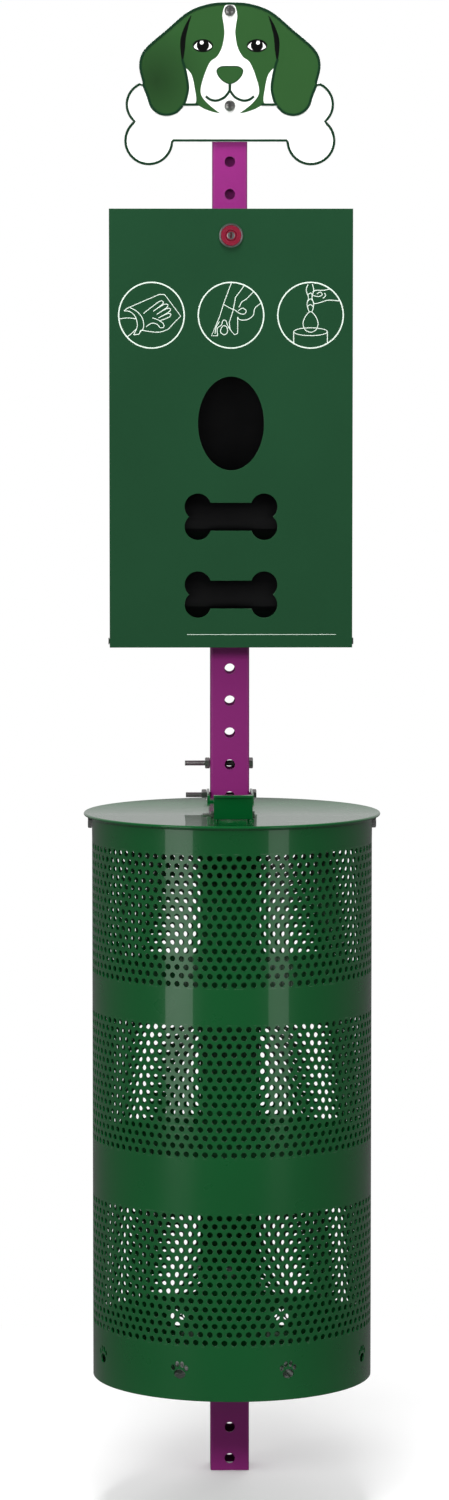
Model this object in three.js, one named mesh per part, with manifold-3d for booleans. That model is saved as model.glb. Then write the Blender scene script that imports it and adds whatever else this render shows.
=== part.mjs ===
// A dog waste station: a telescoping square post that carries a sign, a lockable bag
// dispenser and a round litter can with a hinged lid.
//
// Units are millimetres. The origin is at the height of the post's foot, under the middle of
// the whole station; +Z is up, +X is to the right and the front of the station faces -Y.
// Pieces are shaped about the post's axis, and "front" is a distance forwards from it. Their
// group is set back by POST_SETBACK, which centres the bounding box over the origin.

import * as THREE from 'three';
import { mergeVertices } from 'three/addons/utils/BufferGeometryUtils.js';
import Module from 'manifold-3d';

const wasm = await Module();
wasm.setup();

// ------------------------------------------------------------------ driving dimensions

const GAP = 0.3;                // clearance left between neighbouring pieces
const POST_SETBACK = 158.9;     // the post's axis, behind the middle of the bounding box

// The two square tubes slide into each other and are drilled on a common pitch.
const LOWER_TUBE = 45;
const UPPER_TUBE = 40;
const TUBE_WALL = 2;
const LOWER_TUBE_TOP = 1240;
const UPPER_TUBE_BOTTOM = 1000;
const UPPER_TUBE_TOP = 1697;
const HOLE_RADIUS = 6;
const HOLE_PITCH = 37;
const FIRST_HOLE = 14.2;
const LOWER_HOLE_COUNT = 33;
const TOP_SERIES_START = 1408.9;
const TOP_SERIES_COUNT = 5;

// Heights of the drilled holes that carry something.
const pitchHole = (index) => FIRST_HOLE + HOLE_PITCH * index;
const LOWER_BRACKET_HEIGHT = pitchHole(6);
const UPPER_BRACKET_HEIGHT = pitchHole(20);
const HINGE_HEIGHT = pitchHole(21);
const STOP_HEIGHT = pitchHole(22);
const DISPENSER_BOLT_LOW = pitchHole(29);
const TUBE_LOCK_HEIGHT = pitchHole(31);
const DISPENSER_BOLT_HIGH = TOP_SERIES_START;

// The sign is cut from one sheet: a dog's head over a bone.
const SIGN_THICKNESS = 2;
const SIGN_TOP = 1700.5;
const BONE_EDGE = 1542.4;       // the bone's straight lower edge
const BONE_HALF_LENGTH = 92.6;  // to the centres of the bone's end lobes
const LOW_LOBE = { height: 1543.7, radius: 28.2 };
const HIGH_LOBE = { height: 1584.8, radius: 26.6 };
const SIGN_BOLT_HEIGHTS = [1583.2, 1690.7];

// The dispenser is a sheet-metal box with a cover that hinges at its bottom edge.
const BOX_WIDTH = 275;
const BOX_BOTTOM = 969.6;
const BOX_TOP = 1464.6;
const BOX_BACK = LOWER_TUBE / 2 + GAP;
const BOX_FRONT = 112;
const SHEET = 1.5;
const PANEL = 2;
const COVER_FLANGE = 18;
const COVER_PIVOT = { front: 103.5, height: 976.6 };
const COVER_PIN_RADIUS = 2;
const COVER_PIN_HEAD = { radius: 3.8, height: 1.2 };
const LOCK_HEIGHT = 1434.5;
const LOCK = { ring: 13.8, chamfer: 1.2, face: 2.2, barrel: 9.5, plug: 6, tail: 3, back: 95 };
const LOCK_CAM = { front: 90.7, sheet: 2, half: 4.5, heel: 6, reach: 24 };
const STRIKE = { half: 40, front: 94, sheet: 1.5, above: 13.5 };
const HAND_HOLE = { width: 74.5, height: 105.7, centre: 1223.1 };
const BONE_SLOT = { length: 105, shaft: 31.6, lobe: 15, lobeRise: 11.3 };
const ROLL_HEIGHTS = { upper: 1117.8, lower: 1029.6 };
const ROLL_FRONT = 66;
const ROLL_RADIUS = 35;
const ROLL_WIDTH = 180;
const CORE_RADIUS = 12.5;
const SPINDLE_RADIUS = 9.5;
const PEG_SPACING = 100;
const PEG_HEIGHT = 1383;
const PEG = { radius: 2.5, front: 74, lift: 14, bend: 6 };
const BAG_PACK = { half: 100, back: 33, front: 61, bottom: 1160, top: 1398, hole: 4.5 };
const CRADLE = { inner: 104, foot: 16, front: 82, margin: 24, mouth: 40 };
const SPACER_RADIUS = 13;

// The can hangs in front of the post on two brackets.
const CAN_FRONT = 187;          // the can's axis, in front of the post's axis
const CAN_RADIUS = 157;
const CAN_WALL = 1.5;
const CAN_BOTTOM = 152;
const CAN_TOP = 787.8;
const CAN_SIDES = 60;
const CAN_BEAD = 2.8;           // how far the rolled rim stands proud of the wall
const DRAIN_COUNT = 8;
const DRAIN_HEIGHT = 185;
const DRAIN_RADIUS = 8;
const DISH = { rise: 4, sheet: 2, flange: 12, wall: 1.5, drains: 6, drainRadius: 5, drainRing: 95 };
const BACK_STRIP = { half: 34.5, bottom: 175, height: 590, sheet: 2 };
const RING_RADIUS = 150;
const RING_BAND = { sheet: 2, below: 10, above: 6 };
const RING_BOLT_HEIGHT = 778.4;
const RING_BOLT_TIP = 139;
const BRACKET = { sheet: 3, height: 40, slack: 0.8, back: -12, front: 29 };
const CAN_RIVET_RADIUS = 4;

// The lid turns about a bolt through the post.
const LID_RADIUS = 166.3;
const LID_TOP = 789.7;
const LID_SHEET = 1.5;
const LID_ROLL = { width: 2.8, depth: 1.6, crown: 0.6 };
const LID_RIVET = { radius: 3, x: 12, front: 66 };
const LID_NOTCH_HALF = 27.5;
const LID_NOTCH_FRONT = 46;
const EAR_INNER = 23.5;
const EAR_SHEET = 3;
const EAR_RADIUS = 7.2;
const EAR_BASE = [48, 84];      // front distances of the plate between the ears
const HANDLE_FRONT = 273;
const HANDLE_HALF = 21.5;
const HANDLE_TOP = 817.5;
const HANDLE_SHEET = 2.5;
const HANDLE_LIP = 11;
const HANDLE_BOLT = { front: 264, height: 794.3 };
const HANDLE_LUG = { inner: 15.7, half: 6 };

// Fastener sizes: shank radius, width across flats, head and nut heights.
const QUARTER_INCH = { radius: 3.2, flats: 11.1, head: 4.4, nut: 5.6 };
const TEN_MM = { radius: 5, flats: 17, head: 6.4, nut: 8.4 };
const FOUR_MM = { radius: 2, flats: 7, head: 2.2, nut: 3.2 };
const PAN_HEAD = { radius: 6.5, height: 3.6, recessDepth: 1.7, recessArm: 3.2, recessHalf: 0.7 };
const RIVET_HEAD = 2.2;

// How far each cross bolt's tip stands from the post's centre line.
const CROSS_BOLT_TIPS = { tubeLock: -38, stop: -51.7, bracket: -45, hinge: -50.6 };
const SIGN_BOLT_TIP = 34;
const EACH_SIDE = [['left', -1], ['right', 1]];

// ------------------------------------------------------------------ shape helpers

// Keeps only the positions of a geometry, with shared corners merged.
function clean(geometry) {
  geometry.deleteAttribute('normal');
  geometry.deleteAttribute('uv');
  return mergeVertices(geometry);
}

function toSolid(geometry) {
  return new wasm.Manifold(new wasm.Mesh({
    numProp: 3,
    vertProperties: new Float32Array(geometry.attributes.position.array),
    triVerts: new Uint32Array(geometry.index.array),
  }));
}

function toGeometry(solid) {
  const mesh = solid.getMesh();
  const geometry = new THREE.BufferGeometry();
  geometry.setAttribute('position', new THREE.BufferAttribute(mesh.vertProperties, 3));
  geometry.setIndex(new THREE.BufferAttribute(mesh.triVerts, 1));
  return geometry;
}

function join(first, ...others) {
  return toGeometry(others.reduce((sum, next) => sum.add(toSolid(next)), toSolid(first)));
}

function cut(base, ...tools) {
  return toGeometry(tools.reduce((rest, tool) => rest.subtract(toSolid(tool)), toSolid(base)));
}

// A box from its lowest and highest x, front distance and height.
function block([x0, x1], [front0, front1], [z0, z1]) {
  const geometry = new THREE.BoxGeometry(x1 - x0, front1 - front0, z1 - z0);
  geometry.translate((x0 + x1) / 2, -(front0 + front1) / 2, (z0 + z1) / 2);
  return clean(geometry);
}

// Turns a shape made along +Y so that it runs along the named axis.
function aim(geometry, axis) {
  if (axis === 'x') geometry.rotateZ(-Math.PI / 2);
  if (axis === 'z') geometry.rotateX(Math.PI / 2);
  return geometry;
}

// A round or prismatic bar between two values of the named axis; "at" is its place on the
// other two axes, in x, y, z order.
function bar(axis, radius, ends, at, sides = 16) {
  const [from, to] = [Math.min(...ends), Math.max(...ends)];
  const geometry = clean(new THREE.CylinderGeometry(radius, radius, to - from, sides));
  geometry.translate(0, (from + to) / 2, 0);
  aim(geometry, axis);
  const place = { x: [0, at[0], at[1]], y: [at[0], 0, at[1]], z: [at[0], at[1], 0] }[axis];
  return geometry.translate(...place);
}

// A solid of revolution about the named axis from a closed outline of [radius, distance]
// points, listed with the outer side going up.
function revolve(axis, outline, at, sides = 16) {
  const points = [...outline, outline[0]].map(([radius, along]) => new THREE.Vector2(radius, along));
  const geometry = aim(clean(new THREE.LatheGeometry(points, sides)), axis);
  const place = { x: [0, at[0], at[1]], y: [at[0], 0, at[1]], z: [at[0], at[1], 0] }[axis];
  return geometry.translate(...place);
}

// A flat sheet seen from the front: the shape's x and y become x and height.
function frontSheet(shape, front, thickness, curveSegments = 12) {
  const options = { depth: thickness, bevelEnabled: false, curveSegments };
  const geometry = clean(new THREE.ExtrudeGeometry(shape, options));
  return geometry.rotateX(Math.PI / 2).translate(0, -front, 0);
}

// A round rod bent along straight runs with rounded corners.
function bentRod(corners, radius, bend) {
  const path = new THREE.CurvePath();
  let start = corners[0];
  for (let i = 1; i < corners.length - 1; i++) {
    const toward = (end) => corners[i].clone().add(end.clone().sub(corners[i]).setLength(bend));
    const before = toward(corners[i - 1]);
    const after = toward(corners[i + 1]);
    path.add(new THREE.LineCurve3(start, before));
    path.add(new THREE.QuadraticBezierCurve3(before, corners[i], after));
    start = after;
  }
  path.add(new THREE.LineCurve3(start, corners[corners.length - 1]));
  const section = new THREE.Shape().absarc(0, 0, radius, 0, 2 * Math.PI);
  const options = { extrudePath: path, steps: 36, curveSegments: 3 };
  return clean(new THREE.ExtrudeGeometry(section, options));
}

// ------------------------------------------------------------------ fasteners

function hexBar(axis, flats, ends, at) {
  return bar(axis, flats / Math.sqrt(3), ends, at, 6);
}

// A hex-headed bolt whose head sits on "seat" and whose thread ends at "tip".
function hexBolt(axis, size, seat, tip, at) {
  const outward = Math.sign(seat - tip);
  const head = hexBar(axis, size.flats, [seat, seat + outward * size.head], at);
  const shank = bar(axis, size.radius, [tip, seat + outward], at, 10);
  return join(head, shank);
}

// A nut whose near face is at "seat" and which extends towards "outward" (1 or -1).
function hexNut(axis, size, seat, outward, at) {
  const ends = [seat, seat + outward * size.nut];
  const hole = bar(axis, size.radius + GAP, [ends[0] - outward, ends[1] + outward], at, 10);
  return cut(hexBar(axis, size.flats, ends, at), hole);
}

// A rivet with a flat head at each end of its shank.
function rivet(axis, radius, nearHead, farHead, at) {
  const headRadius = radius * 1.9;
  return revolve(axis, [
    [0, nearHead[0]], [headRadius, nearHead[0]], [headRadius, nearHead[1]], [radius, nearHead[1]],
    [radius, farHead[0]], [headRadius, farHead[0]], [headRadius, farHead[1]], [0, farHead[1]],
  ], at, 12);
}

// A bolt and nut that run from right to left through the post.
function crossBolt(halfWidth, tip, height) {
  const at = [0, height];
  return {
    bolt: hexBolt('x', QUARTER_INCH, halfWidth + GAP, tip, at),
    nut: hexNut('x', QUARTER_INCH, -halfWidth - GAP, -1, at),
  };
}

// ------------------------------------------------------------------ post and sign

function squareTube(width, [bottom, top]) {
  const square = (half, corner) => {
    const flat = half - corner;
    const shape = new THREE.Shape();
    const turns = [[flat, flat, 0], [-flat, flat, 1], [-flat, -flat, 2], [flat, -flat, 3]];
    turns.forEach(([x, y, turn]) => {
      shape.absarc(x, y, corner, turn * Math.PI / 2, (turn + 1) * Math.PI / 2);
    });
    return shape;
  };
  const outline = square(width / 2, TUBE_WALL * 1.5);
  outline.holes.push(square(width / 2 - TUBE_WALL, TUBE_WALL * 0.5));
  const options = { depth: top - bottom, bevelEnabled: false, curveSegments: 2 };
  return clean(new THREE.ExtrudeGeometry(outline, options)).translate(0, 0, bottom);
}

// Holes through the tube's front wall, and through its rear wall as well unless they are blind.
function frontHoles(width, heights, radius = HOLE_RADIUS, blind = false) {
  const back = blind ? 0 : width;
  return heights.map((height) => bar('y', radius, [-width, back], [0, height], 8));
}

function sideHoles(width, heights) {
  const radius = QUARTER_INCH.radius + GAP;
  return heights.map((height) => bar('x', radius, [-width, width], [0, height], 8));
}

function lowerPost() {
  const pitch = Array.from({ length: LOWER_HOLE_COUNT }, (_, index) => pitchHole(index));
  const crossed = [LOWER_BRACKET_HEIGHT, UPPER_BRACKET_HEIGHT, HINGE_HEIGHT, STOP_HEIGHT, TUBE_LOCK_HEIGHT];
  return cut(
    squareTube(LOWER_TUBE, [0, LOWER_TUBE_TOP]),
    ...frontHoles(LOWER_TUBE, pitch),
    ...sideHoles(LOWER_TUBE, crossed),
  );
}

function upperPost() {
  const seriesIn = (start, count) => Array.from({ length: count }, (_, i) => start + HOLE_PITCH * i);
  const topSeries = seriesIn(TOP_SERIES_START, TOP_SERIES_COUNT);
  return cut(
    squareTube(UPPER_TUBE, [UPPER_TUBE_BOTTOM, UPPER_TUBE_TOP]),
    ...frontHoles(UPPER_TUBE, [TOP_SERIES_START]),
    ...frontHoles(UPPER_TUBE, topSeries.slice(1), HOLE_RADIUS, true),
    ...frontHoles(UPPER_TUBE, seriesIn(pitchHole(28), 5)),
    ...frontHoles(UPPER_TUBE, SIGN_BOLT_HEIGHTS, QUARTER_INCH.radius + GAP),
    ...sideHoles(UPPER_TUBE, [TUBE_LOCK_HEIGHT]),
  );
}

// A push-in cap: a cover plate with a short plug that fits inside the tube.
function postCap() {
  const half = UPPER_TUBE / 2;
  const plug = half - TUBE_WALL - GAP;
  const seat = UPPER_TUBE_TOP + GAP;
  const plate = block([-half, half], [-half, half], [seat, seat + 1.8]);
  return join(plate, block([-plug, plug], [-plug, plug], [seat - 2.6, seat + 1]));
}

// The sign's outline, from the middle of the bone's lower edge round the left side to the
// crown of the head and back down the right side.
function signShape() {
  const ear = [[99.3, 1608], [103.7, 1629], [97.5, 1647], [72.2, 1669.4], [46.9, 1690.2], [22, 1699]];
  const side = [];
  const lobe = ({ height, radius }, from, to, steps) => {
    for (let i = 0; i <= steps; i++) {
      const angle = THREE.MathUtils.degToRad(from + (to - from) * i / steps);
      const x = BONE_HALF_LENGTH + radius * Math.cos(angle);
      side.push(new THREE.Vector2(x, height + radius * Math.sin(angle)));
    }
  };
  side.push(new THREE.Vector2(BONE_HALF_LENGTH - LOW_LOBE.radius, BONE_EDGE));
  lobe(LOW_LOBE, -176, 47, 20);
  lobe(HIGH_LOBE, -48, 66, 10);
  const crest = [...ear, [0, SIGN_TOP], [-22, 1699]];
  const profile = new THREE.SplineCurve(crest.map(([x, z]) => new THREE.Vector2(x, z)));
  const crown = ear.length / (ear.length + 1);
  for (let i = 0; i <= 20; i++) side.push(profile.getPoint(crown * i / 20));
  const mirrored = side.slice(0, -1).reverse().map((point) => new THREE.Vector2(-point.x, point.y));
  return new THREE.Shape([...side, ...mirrored]);
}

function signPlate() {
  const front = UPPER_TUBE / 2 + GAP;
  const holes = SIGN_BOLT_HEIGHTS.map((height) => {
    return bar('y', QUARTER_INCH.radius + GAP, [-front - 5, -front + 5], [0, height], 12);
  });
  return cut(frontSheet(signShape(), front, SIGN_THICKNESS), ...holes);
}

// A round-headed bolt from the sign's face through the tube, with its cross recess.
function signBolt(height) {
  const seat = UPPER_TUBE / 2 + SIGN_THICKNESS + 2 * GAP;
  const { radius, height: rise, recessDepth, recessArm, recessHalf } = PAN_HEAD;
  const body = revolve('y', [
    [0, -seat - rise], [0.55 * radius, -seat - 0.95 * rise], [0.86 * radius, -seat - 0.6 * rise],
    [radius, -seat], [QUARTER_INCH.radius, -seat], [QUARTER_INCH.radius, SIGN_BOLT_TIP],
    [0, SIGN_BOLT_TIP],
  ], [0, height], 16);
  const floor = seat + rise - recessDepth;
  const slot = (x, z) => block([-x, x], [floor, seat + 2 * rise], [height - z, height + z]);
  return cut(body, slot(recessArm, recessHalf), slot(recessHalf, recessArm));
}

// ------------------------------------------------------------------ litter can

const canY = -CAN_FRONT;
const canInside = CAN_RADIUS - CAN_WALL;

// Orders a pair so that a block can be made on either side of the post.
const onSide = (side, near, far) => [side * near, side * far].sort((a, b) => a - b);

function canBody() {
  const bead = (out, down) => [CAN_RADIUS + out * CAN_BEAD, CAN_TOP - down * CAN_BEAD];
  const shell = revolve('z', [
    [canInside, CAN_BOTTOM], [CAN_RADIUS, CAN_BOTTOM], bead(0, 0.93), bead(0.71, 0.79),
    bead(1, 0.43), bead(0.71, 0), [canInside, CAN_TOP],
  ], [0, canY], CAN_SIDES);
  const drains = Array.from({ length: DRAIN_COUNT / 2 }, (_, index) => {
    const angle = (index + 0.5) * 2 * Math.PI / DRAIN_COUNT;
    const across = [-2 * CAN_RADIUS, 2 * CAN_RADIUS];
    const hole = bar('x', DRAIN_RADIUS, across, [0, DRAIN_HEIGHT], 8);
    return hole.rotateZ(angle).translate(0, canY, 0);
  });
  return cut(shell, ...drains, ringBoltHole(), ...canRivetHoles());
}

// One clearance hole right across the can for the two bolts that hold the bag ring.
function ringBoltHole() {
  const across = [-1.2 * CAN_RADIUS, 1.2 * CAN_RADIUS];
  return bar('x', QUARTER_INCH.radius + GAP, across, [canY, RING_BOLT_HEIGHT], 10);
}

// Clearance holes for the rivets that hold the can on its brackets.
function canRivetHoles() {
  return [LOWER_BRACKET_HEIGHT, UPPER_BRACKET_HEIGHT].map((height) => {
    const through = [-BRACKET.front - 15, -BRACKET.front + 15];
    return bar('y', CAN_RIVET_RADIUS + GAP, through, [0, height], 12);
  });
}

// A dished bottom with drain holes.
function canBase() {
  const outer = canInside - GAP;
  const floor = CAN_BOTTOM + DISH.rise;
  const dish = revolve('z', [
    [0, floor], [outer, floor], [outer, floor + DISH.flange], [outer - DISH.wall, floor + DISH.flange],
    [outer - DISH.wall, floor + DISH.sheet], [0, floor + DISH.sheet],
  ], [0, canY], CAN_SIDES);
  const drains = Array.from({ length: DISH.drains }, (_, index) => {
    const through = [floor - DISH.sheet, floor + 2 * DISH.sheet];
    const hole = bar('z', DISH.drainRadius, through, [DISH.drainRing, 0], 10);
    return hole.rotateZ(index * 2 * Math.PI / DISH.drains).translate(0, canY, 0);
  });
  return cut(dish, ...drains);
}

// A curved backing strip inside the can's rear wall, where the brackets are riveted.
function backStrip() {
  const outer = canInside - GAP;
  const spread = Math.asin(BACK_STRIP.half / outer);
  const rear = Math.PI / 2;
  const shape = new THREE.Shape();
  shape.absarc(0, 0, outer, rear - spread, rear + spread, false);
  shape.absarc(0, 0, outer - BACK_STRIP.sheet, rear + spread, rear - spread, true);
  const options = { depth: BACK_STRIP.height, bevelEnabled: false, curveSegments: 8 };
  const strip = clean(new THREE.ExtrudeGeometry(shape, options));
  return cut(strip.translate(0, canY, BACK_STRIP.bottom), ...canRivetHoles());
}

// A band inside the mouth that a bag is folded over.
function bagRing() {
  const inner = RING_RADIUS - RING_BAND.sheet;
  const low = RING_BOLT_HEIGHT - RING_BAND.below;
  const high = RING_BOLT_HEIGHT + RING_BAND.above;
  const outline = [[inner, low], [RING_RADIUS, low], [RING_RADIUS, high], [inner, high]];
  return cut(revolve('z', outline, [0, canY], CAN_SIDES), ringBoltHole());
}

function ringBolt(side) {
  const seat = side * (CAN_RADIUS + GAP);
  return hexBolt('x', QUARTER_INCH, seat, side * RING_BOLT_TIP, [canY, RING_BOLT_HEIGHT]);
}

function ringNut(side) {
  const seat = side * (RING_RADIUS - RING_BAND.sheet - GAP);
  return hexNut('x', QUARTER_INCH, seat, -side, [canY, RING_BOLT_HEIGHT]);
}

const bracketHalf = LOWER_TUBE / 2 + BRACKET.slack + BRACKET.sheet;

// A U-shaped bracket: its ears straddle the post and its web carries the can.
function canBracket(height) {
  const { sheet, back, front } = BRACKET;
  const inner = bracketHalf - sheet;
  const rise = [height - BRACKET.height / 2, height + BRACKET.height / 2];
  const body = block([-bracketHalf, bracketHalf], [back, front], rise);
  const room = block([-inner, inner], [2 * back, front - sheet], [rise[0] - 1, rise[1] + 1]);
  const bolt = bar('x', QUARTER_INCH.radius + GAP, [-2 * inner, 2 * inner], [0, height], 10);
  return cut(body, room, bolt, ...canRivetHoles());
}

function canRivet(height) {
  const inTheCan = CAN_FRONT - (canInside - GAP - BACK_STRIP.sheet) + GAP;
  const behindWeb = BRACKET.front - BRACKET.sheet - GAP;
  const nearHead = [-inTheCan - RIVET_HEAD, -inTheCan];
  const farHead = [-behindWeb, -behindWeb + RIVET_HEAD];
  return rivet('y', CAN_RIVET_RADIUS, nearHead, farHead, [0, height]);
}

// ------------------------------------------------------------------ lid

function lid() {
  const { width, depth, crown } = LID_ROLL;
  const under = LID_TOP - LID_SHEET;
  const disc = revolve('z', [
    [0, under], [LID_RADIUS - width, under], [LID_RADIUS - 0.86 * width, under - depth],
    [LID_RADIUS - 0.29 * width, under - depth], [LID_RADIUS, under], [LID_RADIUS, LID_TOP],
    [LID_RADIUS - 0.36 * width, LID_TOP + crown], [LID_RADIUS - 1.07 * width, LID_TOP], [0, LID_TOP],
  ], [0, canY], CAN_SIDES);
  const { front, height } = HANDLE_BOLT;
  const { inner, half } = HANDLE_LUG;
  const lugs = [-1, 1].map((side) => {
    const rise = [LID_TOP - LID_SHEET / 2, height + half - 1];
    return block(onSide(side, inner, inner + HANDLE_SHEET), [front - half, front + half], rise);
  });
  const across = [-LID_NOTCH_HALF, LID_NOTCH_HALF];
  const notch = block(across, [0, LID_NOTCH_FRONT], [under - 5, LID_TOP + 5]);
  return cut(join(disc, ...lugs), notch, handleBoltHole(), ...lidRivetHoles());
}

// Clearance holes for the two rivets that hold the hinge bracket on the lid.
function lidRivetHoles() {
  const { radius, x, front } = LID_RIVET;
  const through = [LID_TOP - 10, LID_TOP + 10];
  return [-x, x].map((place) => bar('z', radius + GAP, through, [place, -front], 12));
}

const handleAt = [-HANDLE_BOLT.front, HANDLE_BOLT.height];

function handleBoltHole() {
  return bar('x', FOUR_MM.radius + GAP, [-HANDLE_HALF - 5, HANDLE_HALF + 5], handleAt, 10);
}

// A channel on top of the lid whose two ears reach back to the pivot bolt.
function lidHingeBracket() {
  const outer = EAR_INNER + EAR_SHEET;
  const seat = LID_TOP + GAP;
  const earTop = HINGE_HEIGHT + EAR_RADIUS;
  const base = block([-outer, outer], EAR_BASE, [seat, seat + EAR_SHEET]);
  const ears = [-1, 1].flatMap((side) => {
    const x = onSide(side, EAR_INNER, outer);
    return [
      block(x, [LID_NOTCH_FRONT - 6, EAR_BASE[1]], [seat, earTop]),
      block(x, [0, LID_NOTCH_FRONT - 2], [CAN_TOP + 0.5, earTop]),
      bar('x', EAR_RADIUS, x, [0, HINGE_HEIGHT], 20),
    ];
  });
  const pivot = bar('x', QUARTER_INCH.radius + GAP, [-2 * outer, 2 * outer], [0, HINGE_HEIGHT], 12);
  return cut(join(base, ...ears), pivot, ...lidRivetHoles());
}

function lidRivet(side) {
  const under = LID_TOP - LID_SHEET - GAP;
  const over = LID_TOP + EAR_SHEET + 2 * GAP;
  const at = [side * LID_RIVET.x, -LID_RIVET.front];
  return rivet('z', LID_RIVET.radius, [under - RIVET_HEAD, under], [over, over + RIVET_HEAD], at);
}

// A bent-up lift handle: a front plate with two cheeks and a lip to pull on.
function lidHandle() {
  const foot = LID_TOP + 0.5;
  const cheekIn = HANDLE_HALF - HANDLE_SHEET;
  const across = [-HANDLE_HALF, HANDLE_HALF];
  const plate = block(across, [HANDLE_FRONT, HANDLE_FRONT + HANDLE_SHEET], [foot, HANDLE_TOP]);
  const lipRise = [HANDLE_TOP - HANDLE_SHEET, HANDLE_TOP];
  const lip = block(across, [HANDLE_FRONT, HANDLE_FRONT + HANDLE_LIP], lipRise);
  const cheeks = [-1, 1].map((side) => {
    const depth = [HANDLE_BOLT.front - HANDLE_LUG.half - 1, HANDLE_FRONT + 1];
    return block(onSide(side, cheekIn, HANDLE_HALF), depth, [foot, HANDLE_TOP - 8]);
  });
  return cut(join(plate, lip, ...cheeks), handleBoltHole());
}

// ------------------------------------------------------------------ bag dispenser

// An open-fronted box with a strike for the lock hanging from its top wall.
function dispenserHousing() {
  const half = BOX_WIDTH / 2 - 2;
  const bottom = BOX_BOTTOM + 3;
  const top = BOX_TOP - 2.1;
  const mouth = BOX_FRONT - 4.5;
  const shell = block([-half, half], [BOX_BACK, mouth], [bottom, top]);
  const inside = block(
    [-half + SHEET, half - SHEET], [BOX_BACK + SHEET, mouth + 5], [bottom + SHEET, top - SHEET],
  );
  const strike = block(
    [-STRIKE.half, STRIKE.half], [STRIKE.front, STRIKE.front + STRIKE.sheet],
    [LOCK_HEIGHT + STRIKE.above, top - SHEET / 2],
  );
  const bolts = [DISPENSER_BOLT_LOW, DISPENSER_BOLT_HIGH].map((height) => {
    return bar('y', TEN_MM.radius + GAP, [-BOX_BACK - 15, -BOX_BACK + 5], [0, height], 12);
  });
  return cut(join(cut(shell, inside), strike), ...bolts, coverPinHole());
}

function coverPinHole() {
  const at = [-COVER_PIVOT.front, COVER_PIVOT.height];
  return bar('x', COVER_PIN_RADIUS + GAP, [-BOX_WIDTH, BOX_WIDTH], at, 16);
}

// A bone lying across the cover, as an outline of four lobes joined by straight edges.
function boneHole(centre) {
  const { length, shaft, lobe, lobeRise } = BONE_SLOT;
  const x = length / 2 - lobe;
  const meet = THREE.MathUtils.radToDeg(Math.asin((shaft / 2 - lobeRise) / lobe));
  const outline = [];
  const arc = (side, rise, from, to) => {
    for (let i = 0; i <= 8; i++) {
      const angle = THREE.MathUtils.degToRad(from + (to - from) * i / 8);
      const px = side * x + lobe * Math.cos(angle);
      outline.push(new THREE.Vector2(px, centre + rise * lobeRise + lobe * Math.sin(angle)));
    }
  };
  const waist = THREE.MathUtils.radToDeg(Math.asin(lobeRise / lobe));
  arc(1, 1, 180 - meet, -waist);
  arc(1, -1, waist, -180 + meet);
  arc(-1, -1, -meet, -180 - waist);
  arc(-1, 1, 180 + waist, meet);
  return outline;
}

function coverShape() {
  const half = BOX_WIDTH / 2;
  const shape = new THREE.Shape([
    new THREE.Vector2(-half, BOX_BOTTOM), new THREE.Vector2(half, BOX_BOTTOM),
    new THREE.Vector2(half, BOX_TOP), new THREE.Vector2(-half, BOX_TOP),
  ]);
  const { width, height, centre } = HAND_HOLE;
  const hand = new THREE.Path().absellipse(0, centre, width / 2, height / 2, 0, 2 * Math.PI, true);
  const lock = new THREE.Path().absarc(0, LOCK_HEIGHT, LOCK.barrel + GAP, 0, 2 * Math.PI, true);
  const bones = Object.values(ROLL_HEIGHTS).map((z) => new THREE.Path(boneHole(z)));
  shape.holes.push(hand, lock, ...bones);
  return shape;
}

// The cover is a shallow tray: a front panel with flanges over the sides and the top.
function dispenserCover() {
  const half = BOX_WIDTH / 2;
  const depth = [BOX_FRONT - PANEL - COVER_FLANGE, BOX_FRONT - PANEL / 2];
  const panel = frontSheet(coverShape(), BOX_FRONT - PANEL, PANEL, 14);
  const top = block([-half, half], depth, [BOX_TOP - SHEET, BOX_TOP]);
  const left = block([-half, -half + SHEET], depth, [BOX_BOTTOM, BOX_TOP]);
  const right = block([half - SHEET, half], depth, [BOX_BOTTOM, BOX_TOP]);
  return cut(join(panel, top, left, right), coverPinHole());
}

// A headed pin through the cover's flange into the housing's side wall.
function coverPin(side) {
  const wallInside = BOX_WIDTH / 2 - 2 - SHEET;
  const head = BOX_WIDTH / 2 + GAP;
  const at = [-COVER_PIVOT.front, COVER_PIVOT.height];
  const shank = bar('x', COVER_PIN_RADIUS, [side * (wallInside - 2), side * (head + 1)], at);
  const { radius, height } = COVER_PIN_HEAD;
  return join(shank, bar('x', radius, [side * head, side * (head + height)], at));
}

const lockAt = [0, LOCK_HEIGHT];

// The lock's threaded body with its ring on the outside of the cover.
function lockBarrel() {
  const { ring, chamfer, face, barrel, plug, back } = LOCK;
  const seat = -(BOX_FRONT + GAP);
  const bore = plug + GAP;
  return revolve('y', [
    [bore, seat - face], [ring - chamfer, seat - face], [ring, seat - face + chamfer], [ring, seat],
    [barrel, seat], [barrel, -back], [bore, -back],
  ], lockAt, 28);
}

function lockNut() {
  const near = BOX_FRONT - PANEL - GAP;
  const far = near - 5.7;
  const hole = bar('y', LOCK.barrel + GAP, [-near - 5, -far + 5], lockAt, 28);
  return cut(hexBar('y', 24, [-near, -far], lockAt), hole);
}

// The turning plug with its key slot; a tail at the back carries the cam.
function lockPlug() {
  const { plug, tail, face } = LOCK;
  const front = BOX_FRONT + face;
  const shoulder = LOCK_CAM.front + LOCK_CAM.sheet + GAP;
  const end = LOCK_CAM.front - 1.7;
  const body = revolve('y', [
    [0, -front], [plug, -front], [plug, -shoulder], [tail, -shoulder], [tail, -end], [0, -end],
  ], lockAt, 20);
  const keySlot = block([-0.9, 0.9], [front - 4, front + 2], [LOCK_HEIGHT - 4, LOCK_HEIGHT + 4]);
  return cut(body, keySlot);
}

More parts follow.
